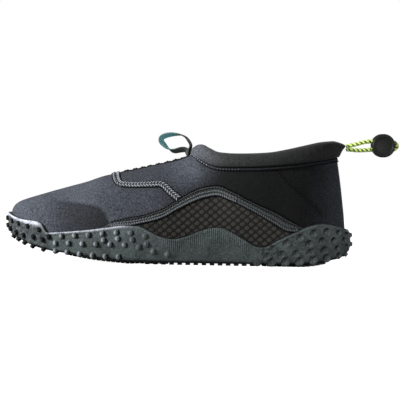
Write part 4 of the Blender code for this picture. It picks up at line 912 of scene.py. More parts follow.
def makeTread():
    # plates cut into zigzag bars, and two rows of short bars at the waist; each bar is a flat grid of points
    # at the underside's height, the same grid at the belly's height, and a wall round both
    look = soleLook
    bars = []
    for first, final, count, insets in look["plates"]:
        x, edges = plateEdges(alongX(first), alongX(final), insets, count * 6 + 1)
        share = np.linspace(0, 1, 13)[None, :, None]
        for pick in (slice(bar * 6, bar * 6 + 7) for bar in range(count)):
            flat = edges[0][pick][:, None] * (1 - share) + edges[1][pick][:, None] * share
            length = x[pick][-1] - x[pick][0]
            squeeze = x[pick][0] + (x[pick] - x[pick][0]) * look["barShare"] + 0.10 * length
            flat[..., 0] = squeeze[:, None] + look["barWave"] * np.abs(((share[..., 0] * 6) % 1) - 0.5)
            bars.append(flat)
    for side in (-1.0, 1.0):
        for index in range(look["lugs"]):
            x = alongX(look["lugStart"]) + index * look["lugPitch"]
            ends = np.array([x - look["lugLength"] / 2, x + look["lugLength"] / 2])
            _, y, _, _ = outlineAt(turnOf(shareAt(ends)), side + 0 * ends)
            edge = y - side * (look["treadInset"] - 1.2 * mm)
            inner = edge - side * look["lugWidth"]
            bars.append(np.stack([np.stack([ends, edge], -1), np.stack([ends, inner], -1)], 1))
    verts, faces, start = [], [], 0
    for flat in bars:
        rows, columns = flat.shape[:2]
        size = rows * columns
        number = np.arange(size).reshape(rows, columns)
        rim = np.concatenate([number[0], number[1:, -1], number[-1, -2::-1], number[-2:0:-1, 0]])
        after = np.roll(rim, -1)
        for height in (underside(flat[..., :1]), soleBelly(flat[..., :1]) + 0.3 * mm):
            verts.append(np.concatenate([flat, height], -1).reshape(-1, 3))
        flatFaces = gridFaces(rows, columns, start=start)
        wall = np.stack([rim, after, after + size, rim + size], -1) + start
        faces += [flatFaces, flatFaces[:, ::-1] + size, wall]
        start += 2 * size
    tread = meshObject("treadBlocks", np.concatenate(verts), np.concatenate(faces), [treadRubber], sharp=30)
    outwardFaces(tread)
    bevel = tread.modifiers.new("edges", "BEVEL")
    bevel.width = 0.12 * mm
    bevel.segments = 1
    return dress(tread, "rubber")


insoleLook = {
    "gap": 1.0 * mm, "lift": 0.5 * mm, "top": 3.7 * mm,
    # edge from below: outward and upward in mm
    "profile": [(0.0, 0.0), (0.0, 2.6), (-0.15, 3.0), (-0.6, 3.2)],
}


def makeInsole():
    # the outline set in by the tuck and the wall, raised by the profile above the floor of the cup
    look = insoleLook
    turns = np.linspace(0, 1, 161)
    ring = np.concatenate([-turns, turns[-2:0:-1]])
    x, y, outX, outY = outlineAt(np.abs(ring), np.where(ring < 0, -1.0, 1.0))
    inset = last["tuck"] + last["wall"] + look["gap"]
    base = np.stack([x - outX * inset, y - outY * inset, 0 * x], -1)
    out = np.stack([outX, outY, 0 * outX], -1)
    skin = np.stack([base + out * reach * mm for reach, _ in look["profile"]])
    rises = np.array([rise for _, rise in look["profile"]])
    skin[..., 2] = footbed(skin[..., 0]) + look["lift"] + rises[:, None] * mm
    below = ringAcross(skin[0], 30, lambda x: footbed(x) + look["lift"])
    above = ringAcross(skin[-1], 30, lambda x: footbed(x) + look["top"])
    sole = meshObject("footbed", *tubWithSheets(skin, below, above), [foam])
    outwardFaces(sole, weldGap)
    return dress(sole, "foam", "insole")


soleCup, studs = makeSole(), makeStuds()
makeTread()
makeInsole()
print("scene: sole", len(soleCup.data.polygons), sum(len(piece.data.polygons) for piece in studs))


# bands and panels on the upper

bandLook = {
    # share of the last's length, lower and upper line as shares of the instep height
    "wave": np.array([
        (0.2750, 0.3140, 0.3210), (0.3035, 0.3160, 0.3730), (0.3530, 0.3440, 0.4120),
        (0.3990, 0.3760, 0.4400), (0.4286, 0.3990, 0.4710), (0.4524, 0.4260, 0.5010),
        (0.4885, 0.4910, 0.5690), (0.5335, 0.5620, 0.6550), (0.5720, 0.6090, 0.7030),
        (0.6090, 0.6300, 0.7180), (0.6550, 0.5860, 0.6680), (0.7055, 0.5150, 0.5920),
        (0.7380, 0.4620, 0.5470), (0.7810, 0.3860, 0.4910), (0.8240, 0.3220, 0.4200),
        (0.8460, 0.3200, 0.3860), (0.8650, 0.3440, 0.3560)]),
    "panel": (0.383, 0.834), "thickness": 1.1 * mm, "overRubber": 0.9 * mm, "leastWidth": 0.6 * mm,
    # height of the side trim from its lower to its upper edge: piping, channel, ridge, channel, edge
    "profile": np.array([
        (0.00, 0.00), (0.05, 0.55), (0.13, 1.00), (0.21, 0.72), (0.27, 0.34), (0.33, 0.62), (0.44, 0.96),
        (0.56, 0.92), (0.66, 0.66), (0.72, 0.50), (0.78, 0.66), (0.90, 0.58), (0.97, 0.30), (1.00, 0.00)]),
    "vamp": np.array([
        (0.0, 0.4985, 0.590), (0.20, 0.4690, 0.665), (0.30, 0.4450, 0.722), (0.40, 0.4120, 0.719),
        (0.60, 0.3500, 0.711), (0.75, 0.3200, 0.725)]),
    "vampCrossing": 0.3080, "bandWidth": 6.4 * mm, "ridgeWidth": 7.8 * mm,
    "trimWeave": 1.5 * mm, "vampWeave": 1.7 * mm,
    "dotPitch": 7.4 * mm, "dotRise": 6.2 * mm, "dotHeight": 0.28 * mm,
    # gusset: from and to as shares of the last, half width, pitch of its gathers
    "gusset": (0.3250, 0.5240), "gussetHalf": 5.0 * mm, "gatherPitch": 6.6 * mm,
}


def aboveRubber(x):
    # a line just over the edge of the cup
    return soleEdge(x) + bandLook["overRubber"]


def sideBand(side, x, low, high, shares, lift):
    # points over the upper between two side-view lines, raised by lift
    z = low[:, None] * (1 - shares[None, :]) + high[:, None] * shares[None, :]
    w, t = locate(x[:, None] + 0 * z, z, side)
    return surface(w, t) + outward(w, t) * lift[..., None], z


def waveLines(x):
    # heights of the wavy trim's lower and upper line at x
    table, share = bandLook["wave"], shareAt(x)
    low = level(share, table[:, 0], table[:, 1]) * last["instep"]
    high = level(share, table[:, 0], table[:, 2]) * last["instep"]
    low = np.maximum(low, aboveRubber(x))
    return low, np.maximum(high, low + bandLook["leastWidth"])


def makeSideTrim(side, name):
    # surface + outward * (profile across the band * thickness + a small sine along it)
    look = bandLook
    x = np.linspace(alongX(look["wave"][0, 0]), alongX(look["wave"][-1, 0]), 420)
    low, high = waveLines(x)
    shares = np.linspace(0, 1, 34)
    shape = smooth(shares, look["profile"][:, 0], look["profile"][:, 1])
    thick = look["thickness"] * np.clip((high - low) / (4 * mm), 0.35, 1.0)
    weave = np.sin(2 * math.pi * x / look["trimWeave"])
    lift = 0.12 * mm + shape[None, :] * thick[:, None] + 0.06 * mm * weave[:, None] * (shape > 0.55)[None, :]
    grid, _ = sideBand(side, x, low, high, shares, lift)
    # pale: pale piping and ridge, partly painted highlight, dimmed towards the heel as painted shade; dark:
    # painted shade in the groove below the ridge and under the lower edge, dark lines at the upper stitch
    # channel and the upper edge
    pale = np.exp(-((shares - 0.13) / 0.06) ** 2) + 0.85 * np.exp(-((shares - 0.48) / 0.10) ** 2)
    dark = (np.exp(-((shares - 0.27) / 0.05) ** 2) + 0.6 * np.exp(-((shares - 0.72) / 0.035) ** 2)
            + np.exp(-((shares - 1.0) / 0.09) ** 2) + np.exp(-(shares / 0.05) ** 2))
    grip = (0.30 + 0.18 * weave) * (1 - 0.75 * fade(x, 0.0, 0.05))
    attrs = {"pale": grip[:, None] * np.clip(pale, 0, 1)[None],
             "dark": 0 * x[:, None] + np.clip(dark, 0, 0.95)[None]}
    return dress(gridObject(name, grid, [bandCloth], attrs, flip=side > 0), "trim", name)


def makePanel(side, name, node):
    # dark ground with raised dots: a dot where (|a|^2.3 + |b|^2.3)^(1/2.3) is small, a and b the distances
    # from its middle along the two slanted rows
    look = bandLook
    x = np.linspace(alongX(look["panel"][0]), alongX(look["panel"][1]), 440)
    high = waveLines(x)[0] - 0.2 * mm
    low = aboveRubber(x) - 0.5 * mm
    high = np.maximum(high, low + look["leastWidth"])
    shares = np.linspace(0, 1, 100)
    z = low[:, None] * (1 - shares[None, :]) + high[:, None] * shares[None, :]
    u, v = x[:, None] / look["dotPitch"], z / look["dotRise"]
    da, db = (np.abs((row % 1) - 0.5) * 2 for row in (u + v, u - v))
    near = (da ** 2.3 + db ** 2.3) ** (1 / 2.3)
    dot = 1 - fade(near, 0.56, 0.84)
    border = fade(shares, 0, 0.03) * fade(1 - shares, 0, 0.03)
    lift = 0.25 * mm + look["dotHeight"] * dot * border[None, :] - 0.1 * mm * fade(near, 0.85, 1.0)
    grid, _ = sideBand(side, x, low, high, shares, lift)
    inside = np.minimum(shares[None, :], 1 - shares[None, :]) * (high - low)[:, None]
    # painted shade along the panel's upper and lower edges, under the trim and above the cup
    edgeShade = 1 - fade(inside, 0.5 * mm, 1.6 * mm)
    dim = 0.35 + 0.65 * fade(x, -0.030, 0.002)[:, None]
    attrs = {"dot": 0.75 * dot * dim * (1 - edgeShade),
             "dark": np.maximum(0.8 * fade(near, 0.80, 0.95), edgeShade)}
    return dress(gridObject(name, grid, [meshCloth], attrs, flip=side > 0), "spacer_mesh", node)


def ridgeTurn(x):
    # places on the half outline whose ribs end at x on the instep ridge
    turns = np.linspace(0, throatTurn, 200)
    return np.interp(x, alongX(smooth(turns, ridgeTurns, last["ridge"][:, 1])), turns)


def vampHalf(side, count):
    # the vamp band's line on one side, through its table and up to the ridge
    table = bandLook["vamp"]
    w, t = locate(alongX(table[:, 1]), table[:, 2] * last["instep"], side)
    crossing = ridgeTurn(alongX(bandLook["vampCrossing"]))
    steps, w, t = np.append(table[:, 0], 1.0), np.append(w, side * crossing), np.append(t, 1.0)
    at = np.linspace(0, 1, count)
    return smooth(at, steps, w), np.clip(smooth(at, steps, t), 0, 1)


def vampLine(count):
    outerW, outerT = vampHalf(-1.0, count)
    innerW, innerT = vampHalf(1.0, count)
    return np.concatenate([outerW, innerW[-2::-1]]), np.concatenate([outerT, innerT[-2::-1]])


def makeVampTrim():
    # middle + across * share * half width + normal * (two flat ridges, 1 - share^6, with a woven chevron)
    look = bandLook
    w, t = vampLine(150)
    middle, normal = surface(w, t), outward(w, t)
    across = unit(np.cross(normal, np.gradient(middle, axis=0)))
    nearness = np.clip(1 - np.abs(np.linspace(-1, 1, len(w))) / 0.3, 0, 1)
    half = (look["bandWidth"] + (look["ridgeWidth"] - look["bandWidth"]) * nearness) / 2
    shares = np.linspace(-1, 1, 27)
    aside = np.abs(shares)
    shape = (1 - aside ** 6) * (0.72 - 0.30 * np.exp(-(shares / 0.14) ** 2))
    way = wayAlong(middle)
    chevron = np.sin(2 * math.pi * (way[:, None] / look["vampWeave"] + aside[None, :] * 0.8))
    lift = 0.15 * mm + shape[None, :] * look["thickness"] + 0.07 * mm * chevron * (aside < 0.9)[None, :]
    lift = lift * (0.15 + 0.85 * fade(np.minimum(way, way[-1] - way), 0, 3.5 * mm))[:, None]
    grid = middle[:, None] + across[:, None] * (shares[None, :] * half[:, None])[..., None]
    grid = grid + normal[:, None] * lift[..., None]
    pale = 0.45 * np.exp(-((aside - 0.45) / 0.22) ** 2)[None, :] * (0.5 + 0.5 * chevron)
    # dark: painted shade in the groove down the middle and along both edges
    dark = np.exp(-(shares / 0.08) ** 2) * 0.5 + np.exp(-((aside - 1) / 0.20) ** 2)
    attrs = {"pale": pale, "dark": 0 * way[:, None] + np.clip(dark, 0, 1)[None]}
    return dress(gridObject("vampBand", grid, [bandCloth], attrs, flip=True), "trim", "vamp_trim")


def makeGusset():
    # stretch strip gathered across the ridge: outward * (edge * uneven sine ridges), edge = 1 - wide^5
    look = bandLook
    x = np.linspace(alongX(look["gusset"][0]), alongX(look["gusset"][1]), 250)
    turns = ridgeTurn(x)
    climbs = np.linspace(0.5, 1.0, 80)
    lines = []
    for side, wide in [(-1, s) for s in np.linspace(1, 0.05, 12)] + [(1, s) for s in np.linspace(0.0, 1, 13)]:
        ribs = surface(side * turns[:, None], climbs[None, :])
        aside = np.abs(ribs[..., 1] - ribs[:, -1:, 1])
        t = np.array([np.interp(-wide * look["gussetHalf"], -line, climbs) for line in aside])
        edge = 1 - abs(wide) ** 5
        wander = 0.10 * np.sin(x / (5 * mm)) + 0.03 * side * wide
        gather = (0.5 + 0.5 * np.sin(2 * math.pi * (x / look["gatherPitch"] + wander))) ** 0.8
        gather = gather + 0.25 * np.sin(2 * math.pi * x / (2.3 * mm) + 2 * wide)
        calm = 1 - 0.7 * fade(shareAt(x), 0.495, 0.508)
        lift = 0.15 * mm + edge * (0.25 * mm + 0.85 * mm * calm * np.clip(gather, 0, 1.2))
        lines.append(surface(side * turns, t) + outward(side * turns, t) * lift[:, None])
    strip = gridObject("gussetStrip", np.stack(lines, 1), [stretch], flip=True)
    return dress(strip, "stretch_cloth", "instep_gusset")


makeSideTrim(-1.0, "side_trim_lateral")
makeSideTrim(1.0, "side_trim_medial")
makePanel(-1.0, "meshPanelOuter", "mesh_panel_lateral")
makePanel(1.0, "meshPanelInner", "mesh_panel_medial")
makeVampTrim()
makeGusset()
print("scene: bands, panels and gusset")


# stitches: short bowed threads, one template carried to every place on a path

def stitchRow(name, middle, normal, pitch, length, radius, lift, material, tilt=0.0, sway=0.0, shift=0.0):
    # thread = centre + run * s + radius * (1 - s^4)^1/2 round it, bowed outward by lift, s from -1 to 1
    way = wayAlong(middle)
    count = int(way[-1] / pitch)
    at = (np.arange(count) + 0.5) * pitch
    centre, up, ahead = (np.stack([np.interp(spots, way, line[:, c]) for c in range(3)], -1)
                         for spots, line in ((at, middle), (at, normal), (at + 0.3 * mm, middle)))
    up = unit(up)
    ahead = ahead - centre
    ahead -= up * (ahead * up).sum(-1, keepdims=True)
    ahead = unit(ahead)
    aside = np.cross(up, ahead)
    angle = math.radians(tilt) + math.radians(sway) * np.where(np.arange(count) % 2, 1.0, -1.0)
    run = ahead * np.cos(angle)[:, None] + aside * np.sin(angle)[:, None]
    across = np.cross(up, run)
    centre = centre + aside * shift
    s = np.linspace(-1, 1, 7)[None, :, None, None]
    turn = np.linspace(0, 2 * math.pi, 7)[None, None, :-1, None]
    girth = radius * np.sqrt(1.0001 - s ** 4)
    grid = centre[:, None, None] + run[:, None, None] * s * length / 2
    grid = grid + across[:, None, None] * np.cos(turn) * girth
    grid = grid + up[:, None, None] * (np.sin(turn) * girth + lift * (1 - s ** 2))
    faces = copiesOf(gridFaces(7, 6, closeColumns=True), count, 42)
    return dress(meshObject(name, grid.reshape(-1, 3), faces, [material]), "trim")


def onUpper(path, side, raised, count=240):
    # points and normals along a side-view line in mm, a little off the cloth
    line = np.array(path) * mm
    w, t = placePath(line[:, 0], line[:, 1], side, count)
    normal = outward(w, t)
    return surface(w, t) + normal * raised, normal


stitchLook = {
    # share of the trim's width, thread, tilt in degrees, pitch, radius in mm, share of the trim's height
    "trim": ((0.11, greyThread, 32, 1.9, 0.62, 0.82), (0.20, greyThread, 32, 1.9, 0.50, 0.70),
             (0.47, greyThread, 24, 2.6, 0.42, 0.95), (0.62, bandCloth, -24, 2.6, 0.42, 0.80),
             (0.78, thread, 0, 2.4, 0.42, 0.72), (1.07, thread, 0, 2.3, 0.68, 0.15),
             (-0.07, thread, 0, 2.3, 0.50, 0.20)),
    # from the given point on, towards the heel, the grey trim stitches use the darker grey thread, painted
    # shade
    "trimPoints": 700, "shadedFrom": 470,
    # the vamp band: thread, radius, share of the length and side of the tilt; edge rows: shift, radius, mm
    "vamp": ((paleThread, 0.55, 1.0), (thread, 0.50, -0.60)), "vampEdge": ((3.15, 0.55), (-3.1, 0.42)),
    # under the collar: depth in mm, thread, part of the path, radius in mm, tilt; the rear part of the pale
    # row uses the darker grey thread as painted shade
    "collar": ((3.0, thread, slice(None), 0.62, 0.0), (1.9, paleThread, slice(0, 24), 0.46, 55.0),
               (1.9, shadedThread, slice(24, 56), 0.36, 55.0)),
}


def makeStitches():
    # rows on the heel seams, along the wavy trims, and on and beside the vamp band
    look = stitchLook
    for side, word in ((-1.0, "Outer"), (1.0, "Inner")):
        middle, normal = onUpper(upperLook["heelSeam"], side, 0.05 * mm)
        for shift in (-0.9, 0.9):
            stitchRow("heelStitch" + word, middle, normal, 2.3 * mm, 1.3 * mm, 0.34 * mm, 0.10 * mm, stretch,
                      shift=shift * mm)
        x = np.linspace(alongX(0.300), alongX(0.855), look["trimPoints"])
        low, high = waveLines(x)
        for share, kind, tilt, pitch, size, up in look["trim"]:
            thick = np.clip((high - low) / (4 * mm), 0.35, 1.0) * bandLook["thickness"] * up
            w, t = locate(x, low + (high - low) * share, side)
            normal = outward(w, t)
            middle = surface(w, t) + normal * (thick * (0 < share < 1) + 0.2 * mm)[:, None]
            length = (pitch + 0.2) * mm * (0.68 if kind is thread else 1)
            turning, rear = look["shadedFrom"], shadedThread if kind is greyThread else kind
            for part, yarn in ((slice(0, turning), kind), (slice(turning - 1, None), rear)):
                stitchRow("trimStitch" + word, middle[part], normal[part], pitch * mm, length, size * mm,
                          0.08 * mm, yarn, tilt=tilt * side)
    w, t = vampLine(400)
    middle, normal = surface(w, t)[4:-4], outward(w, t)[4:-4]
    for shift, sway in ((-1.55, 38), (1.55, -38)):
        for kind, size, part in look["vamp"]:
            stitchRow("vampRow", middle + normal * 0.95 * mm, normal, 2.5 * mm, 3.2 * mm * abs(part),
                      size * mm, 0.1 * mm, kind, tilt=sway * np.sign(part), shift=shift * mm)
    for shift, size in look["vampEdge"]:
        stitchRow("vampEdge", middle + normal * 0.35 * mm, normal, 2.2 * mm, 1.9 * mm, size * mm, 0.1 * mm,
                  thread, shift=shift * mm)


def underCollar(side, turns, depth, more):
    # places t on the ribs at a depth below the collar seam, in mm, times more
    climbs = np.linspace(0.85, 1.0, 40)
    ribs = surface(side * turns[:, None], climbs[None, :])
    way = np.linalg.norm(ribs[:, -1:] - ribs, axis=-1)
    return np.array([np.interp(-depth * m * mm, -line, climbs) for line, m in zip(way, more)])


def makeCollarFold():
    # doubled edge of the cloth just under the binding: surface + outward * rise(depth), with painted shade
    # for a crevice above and painted light towards the front
    turns = np.linspace(throatTurn + 0.004, 0.998, 260)
    depths = np.array([2.6, 2.45, 2.0, 1.4, 0.8, 0.3, 0.0])
    rise = np.array([0.0, 0.32, 0.45, 0.50, 0.45, 0.28, 0.05]) * mm
    for side, word in ((-1.0, "Outer"), (1.0, "Inner")):
        more = 1 + 0.5 * (1 - fade(surface(side * turns, 1.0)[:, 0], 0.014, 0.034))
        t = underCollar(side, turns, depths, more)
        w = side * turns[:, None] + 0 * t
        grid = surface(w, t) + outward(w, t) * rise[None, :, None]
        x = grid[..., 0]
        # lit: painted light towards the front; dark: painted shade in the crevice at the top
        attrs = {"lit": 0.95 * (1 - fade(x, 0.014, 0.040)) + 0.14,
                 "dark": np.interp(depths, (0, 0.9, 1.4), (1.0, 1.0, 0.0))[None, :] + 0 * x}
        dress(gridObject("collarFold" + word, grid, [neoprene], attrs, flip=side > 0), "neoprene")
        for depth, kind, part, size, tilt in stitchLook["collar"]:
            t = underCollar(side, turns, depth, more)
            normal = outward(side * turns, t)
            middle = surface(side * turns, t) + normal * 0.45 * mm
            stitchRow("collarStitch" + word, middle[part], normal[part], 2.6 * mm, 1.45 * mm, size * mm,
                      0.18 * mm, kind, tilt=tilt * side)


makeCollarFold()
makeStitches()
print("scene: collar fold and stitches")


# collar binding, pull tab, drawcord, stopper

bindingLook = {
    # outward from the seam: clearance, thickness of the cloth and of its padding; the beak's length and width
    "gap": 0.6 * mm, "cloth": 1.5 * mm, "padding": 1.0 * mm, "beak": 5.0 * mm, "beakWidth": 12.0 * mm,
    "pucker": 0.10 * mm,
}


def makeBinding():
    # points = seam + up * height * climb + out * (reach + beak * share), along a closed section
    look = bindingLook
    turns = np.linspace(throatTurn, 1, 150)
    w = np.concatenate([turns, -turns[-2:0:-1]])
    seam, edge = surface(w, 1.0), rimAt(w)
    height = np.linalg.norm(edge - seam, axis=-1, keepdims=True)
    up = (edge - seam) / height
    middle = (seam + edge) / 2
    out = unit(np.cross(up, np.roll(middle, -1, axis=0) - np.roll(middle, 1, axis=0)))
    aside = np.abs(edge[:, 1:2])
    beak = look["beak"] * np.exp(-(2 * aside / look["beakWidth"]) ** 2) * (np.abs(w) > 0.8)[:, None]
    past = np.clip((np.abs(w)[:, None] - throatTurn) / 0.05, 0, 1)
    gap, cloth, clearance = look["gap"], last["wall"], 2 * last["gap"]
    wall, puff = look["cloth"] * (0.4 + 0.6 * past), look["padding"] * fade(past, 0, 1)
    over = clearance / height
    section = [(0.03, gap, 0.0), (0.05, gap + wall, 0.0), (0.40, gap + wall + puff, 0.35),
               (0.74, gap + wall + puff, 1.0), (1.02, gap + 0.8 * wall, 0.35),
               (1.0 + (clearance + wall) / height, -cloth / 2, 0.0),
               (1.0 + over, -(cloth + clearance), 0.0), (1.0 + over, gap, 0.0)]
    rows = np.stack([seam + up * height * climb + out * (reach + beak * share)
                     for climb, reach, share in section])
    at = np.concatenate([[0, 0.25, 0.5, 0.75, 0.9], np.linspace(1, 6, 26), [6.5, 7.0]])
    skin = alongRows(rows, at)
    x, z = skin[..., 0], skin[..., 2]
    padded = (at > 0.8) & (at < 5.2)
    pucker = look["pucker"] * noise(x / (2.2 * mm), z / (7 * mm), 5.3) * padded[:, None]
    skin = skin + out[None] * pucker[..., None]
    # dark: painted shade along the binding's foot at the seam and over the back of the heel; lit: painted
    # light towards the front
    dark = np.exp(-((at - 0.3) / 0.75) ** 2)[:, None] + 0.45 * fade(x, 0.055, 0.100)
    attrs = {"lit": 0.9 * (1 - fade(x, 0.010, 0.040)).T, "dark": np.clip(dark, 0, 1).T}
    ring = gridObject("collarRing", skin.transpose(1, 0, 2), [bindingCloth], attrs, closeRows=True,
                      closeColumns=True)
    outwardFaces(ring)
    return dress(ring, "binding", "collar_binding")


tabLook = {
    "rootGap": 2.1 * mm, "rootRise": 1.7 * mm, "width": 5.2 * mm, "thick": 1.1 * mm, "points": 17,
    "tealEnds": (-12 * mm, -7 * mm),  # from the root, where its teal face turns grey
    # along, up from the root in mm, turn in degrees
    "loop": np.array([
        (0, -0.7, -25), (0.55, 2.1, -25), (1.6, 6.0, -20), (-0.4, 9.9, -18), (-3.2, 12.9, -8),
        (-7.2, 14.5, 4), (-13.3, 14.7, 30), (-18.5, 13.8, 45), (-22.4, 11.9, 50), (-22.7, 8.8, 50),
        (-20.2, 5.8, 38), (-16.8, 2.9, 8), (-12.1, 1.1, -38), (-6.0, 2.3, -55), (-2.0, 2.0, -42),
        (-0.7, -1.4, -30)], float),
}


def makeTab():
    # flat section of the ribbon, wide * a + thick * b, carried round the loop and turned by its angle
    look = tabLook
    root = surface(throatTurn, 1.0) + np.array([-look["rootGap"], 0.0, look["rootRise"]])
    along, rise, angle = look["loop"].T
    places = np.stack([root[0] + along * mm, 0 * along, root[2] + rise * mm, angle], -1)
    path = evenPath(places, 241, ring=True)[:-1]
    middle, turn = path[:, :3], np.radians(path[:, 3])
    ahead = unit(np.roll(middle, -1, axis=0) - np.roll(middle, 1, axis=0))
    sideways = np.array([[0.0, 1.0, 0.0]]) + 0 * ahead
    wide = sideways * np.cos(turn)[:, None] + np.cross(ahead, sideways) * np.sin(turn)[:, None]
    thick = np.cross(ahead, wide)
    row = np.linspace(-1, 1, look["points"])
    a, b = np.concatenate([row, row[::-1]]), np.repeat([1.0, -1.0], look["points"])
    a = a * (1 - 0.03 * (np.abs(a) == 1))
    rib = 1 - 0.10 * (0.5 + 0.5 * np.cos(a * 6 * math.pi))
    grid = (middle[:, None] + wide[:, None] * (a * look["width"] / 2)[None, :, None]
            + thick[:, None] * (b * rib * look["thick"] / 2)[None, :, None])
    teal = (b > 0)[None, :] * (1 - fade(path[:, 0] - root[0], *look["tealEnds"]))[:, None]
    edgeDark = np.exp(-((np.abs(a) - 1) / 0.12) ** 2)[None, :] * 0.5
    tab = gridObject("pullLoop", grid, [ribbon], {"teal": teal, "dark": edgeDark + 0 * teal},
                     closeRows=True, closeColumns=True, sharp=50)
    outwardFaces(tab)
    return dress(tab, "ribbon", "pull_tab")


cordLook = {
    "diameter": 3.3 * mm, "plait": 2.4 * mm, "fleckPitch": 3.6 * mm,
    # the CAD's route in metres, its loop behind the stopper drawn in by 2 mm
    "route": [
        (0.1357, 0.0019, 0.0996), (0.1390, 0.0017, 0.1003), (0.1450, 0.0010, 0.1018),
        (0.1510, 0.0003, 0.1035), (0.1560, 0.0, 0.1042), (0.1610, 0.0, 0.1043), (0.1670, 0.0, 0.1043),
        (0.1730, 0.0, 0.1042), (0.1756, 0.0, 0.1037), (0.1773, 0.0, 0.1025), (0.1779, 0.0, 0.1009),
        (0.1773, 0.0, 0.0993), (0.1756, 0.0, 0.0981), (0.1730, 0.0, 0.0976), (0.1670, 0.0, 0.0975),
        (0.1610, 0.0, 0.0975), (0.1560, 0.0, 0.0973), (0.1510, -0.0003, 0.0968),
        (0.1450, -0.0010, 0.0966), (0.1390, -0.0017, 0.0970), (0.1357, -0.0019, 0.0972)],
}


def makeCord():
    # path + (side * cos + other * sin) * radius, the radius swelling with two crossed lays of the plait
    look = cordLook
    path = evenPath(look["route"], 300)
    ahead = unit(np.gradient(path, axis=0))
    side = unit(np.cross(ahead, [[0.0, 1.0, 0.0]]))
    other = np.cross(side, ahead)
    angle = np.linspace(0, 2 * math.pi, 24, endpoint=False)
    way = wayAlong(path)
    lays = [way[:, None] / look["plait"] + hand * angle[None, :] / math.pi for hand in (1, -1)]
    plait = 0.5 + 0.25 * np.cos(2 * math.pi * lays[0]) + 0.25 * np.cos(2 * math.pi * lays[1])
    radius = look["diameter"] / 2 * (0.97 + 0.06 * plait)
    ends = np.minimum(way, way[-1] - way)[:, None]
    radius = radius * np.sqrt(np.clip(ends / (0.8 * mm), 0.02, 1))
    circle = side[:, None] * np.cos(angle)[None, :, None] + other[:, None] * np.sin(angle)[None, :, None]
    grid = path[:, None] + circle * radius[..., None]
    lane = np.round(angle / (math.pi / 2))[None, :]
    off = angle[None, :] / (math.pi / 2) - lane
    phase = (way[:, None] / look["fleckPitch"] + 0.5 * (lane % 2) + 0.5 * off) % 1
    fleck = ((phase < 0.46) & (np.abs(off) < 0.36)) * 0.96
    cord = gridObject("cordTube", grid, [cordSheath], {"fleck": fleck}, closeColumns=True)
    outwardFaces(cord)
    dress(cord, "cord_sheath", "drawcord")
    return cord, path, way[-1]


stopperLook = {
    "centre": (0.1664, 0.0, 0.1009), "yaw": 10.0, "radius": 9.7 * mm, "thick": 9.5 * mm, "edge": 1.4 * mm,
    "hollow": 0.5 * mm, "boreSpread": 3.4 * mm, "boreRadius": 2.2 * mm,
}


def makeStopper():
    # a disc turned from its half section, face then rounded rim, with two bores for the cord
    look = stopperLook
    centre, radius, half, edge = np.array(look["centre"]), look["radius"], look["thick"] / 2, look["edge"]
    yaw, sunk = math.radians(look["yaw"]), half - look["hollow"]
    face = [(1e-6, sunk), (radius - 3.0 * mm, sunk), (radius - 2.6 * mm, half - 0.35 * mm),
            (radius - 2.3 * mm, half)]
    rim = [(radius - edge + edge * math.sin(b), half - edge + edge * math.cos(b))
           for b in np.linspace(0, math.pi / 2, 7)]
    profile = face + rim + [(r, -h) for r, h in (face + rim)[::-1]]
    axis = np.array([[math.sin(yaw), -math.cos(yaw), 0.0]])
    verts, faces = turnedCopies(profile, centre[None], axis, 96)
    disc = meshObject("stopperDisc", verts, faces, [stopperPlastic], sharp=35)
    outwardFaces(disc)
    bores = bmesh.new()
    for side in (-1, 1):
        place = Vector(centre) + Vector((0, 0, side * look["boreSpread"]))
        bmesh.ops.create_cone(bores, cap_ends=True, segments=32, radius1=look["boreRadius"],
                              radius2=look["boreRadius"], depth=0.04,
                              matrix=Matrix.Translation(place) @ Matrix.Rotation(math.radians(90), 4, "Y"))
    data = bpy.data.meshes.new("bores")
    bores.to_mesh(data)
    bores.free()
    cutter = bpy.data.objects.new("bores", data)
    bpy.context.scene.collection.objects.link(cutter)
    cut = disc.modifiers.new("bores", "BOOLEAN")
    cut.operation = "DIFFERENCE"
    cut.solver = "EXACT"
    cut.object = cutter
    bpy.context.view_layer.update()
    made = bpy.data.meshes.new_from_object(disc.evaluated_get(bpy.context.evaluated_depsgraph_get()))
    disc.modifiers.clear()
    disc.data = made
    bpy.data.objects.remove(cutter)
    return dress(disc, "stopper_plastic", "toggle")


makeBinding()
makeTab()
cordTube, cordPath, cordLength = makeCord()
stopperDisc = makeStopper()
print("scene: binding, tab, cord and stopper")


# studio: pale floor, soft light from the upper left front, long lens

studio = {
    "distance": 3.0, "elevation": 0.8, "roll": 1.3, "target": Vector((0.01656, 0.0, 0.05273)), "width": 0.330,
    "paper": (0.30, 0.30, 0.30, 1.0), "paperGlow": 0.97, "evenLight": 0.10,
    # soft lamps: name, place, size in metres, watts
    "lamps": [("key", (-1.65, -0.74, 0.78), 0.16, 66), ("top", (-0.3, 0.1, 1.6), 0.8, 6),
              ("fill", (1.2, -1.8, 0.4), 0.6, 7), ("back", (0.7, 1.9, 0.5), 0.9, 9)],
    # narrow lamp on the heel: place, aim, angle in degrees, watts
    "spot": ((1.5, -1.25, 0.10), (0.125, 0.0, 0.035), 7.5, 58),
}


def forCamera(tree, others, camera, output):
    # the camera sees one shader, every other ray the other
    seen = addNode(tree, "ShaderNodeLightPath")
    choice = addNode(tree, "ShaderNodeMixShader", {0: seen.outputs["Is Camera Ray"], 1: others, 2: camera})
    tree.links.new(choice.outputs[0], tree.nodes[output].inputs["Surface"])


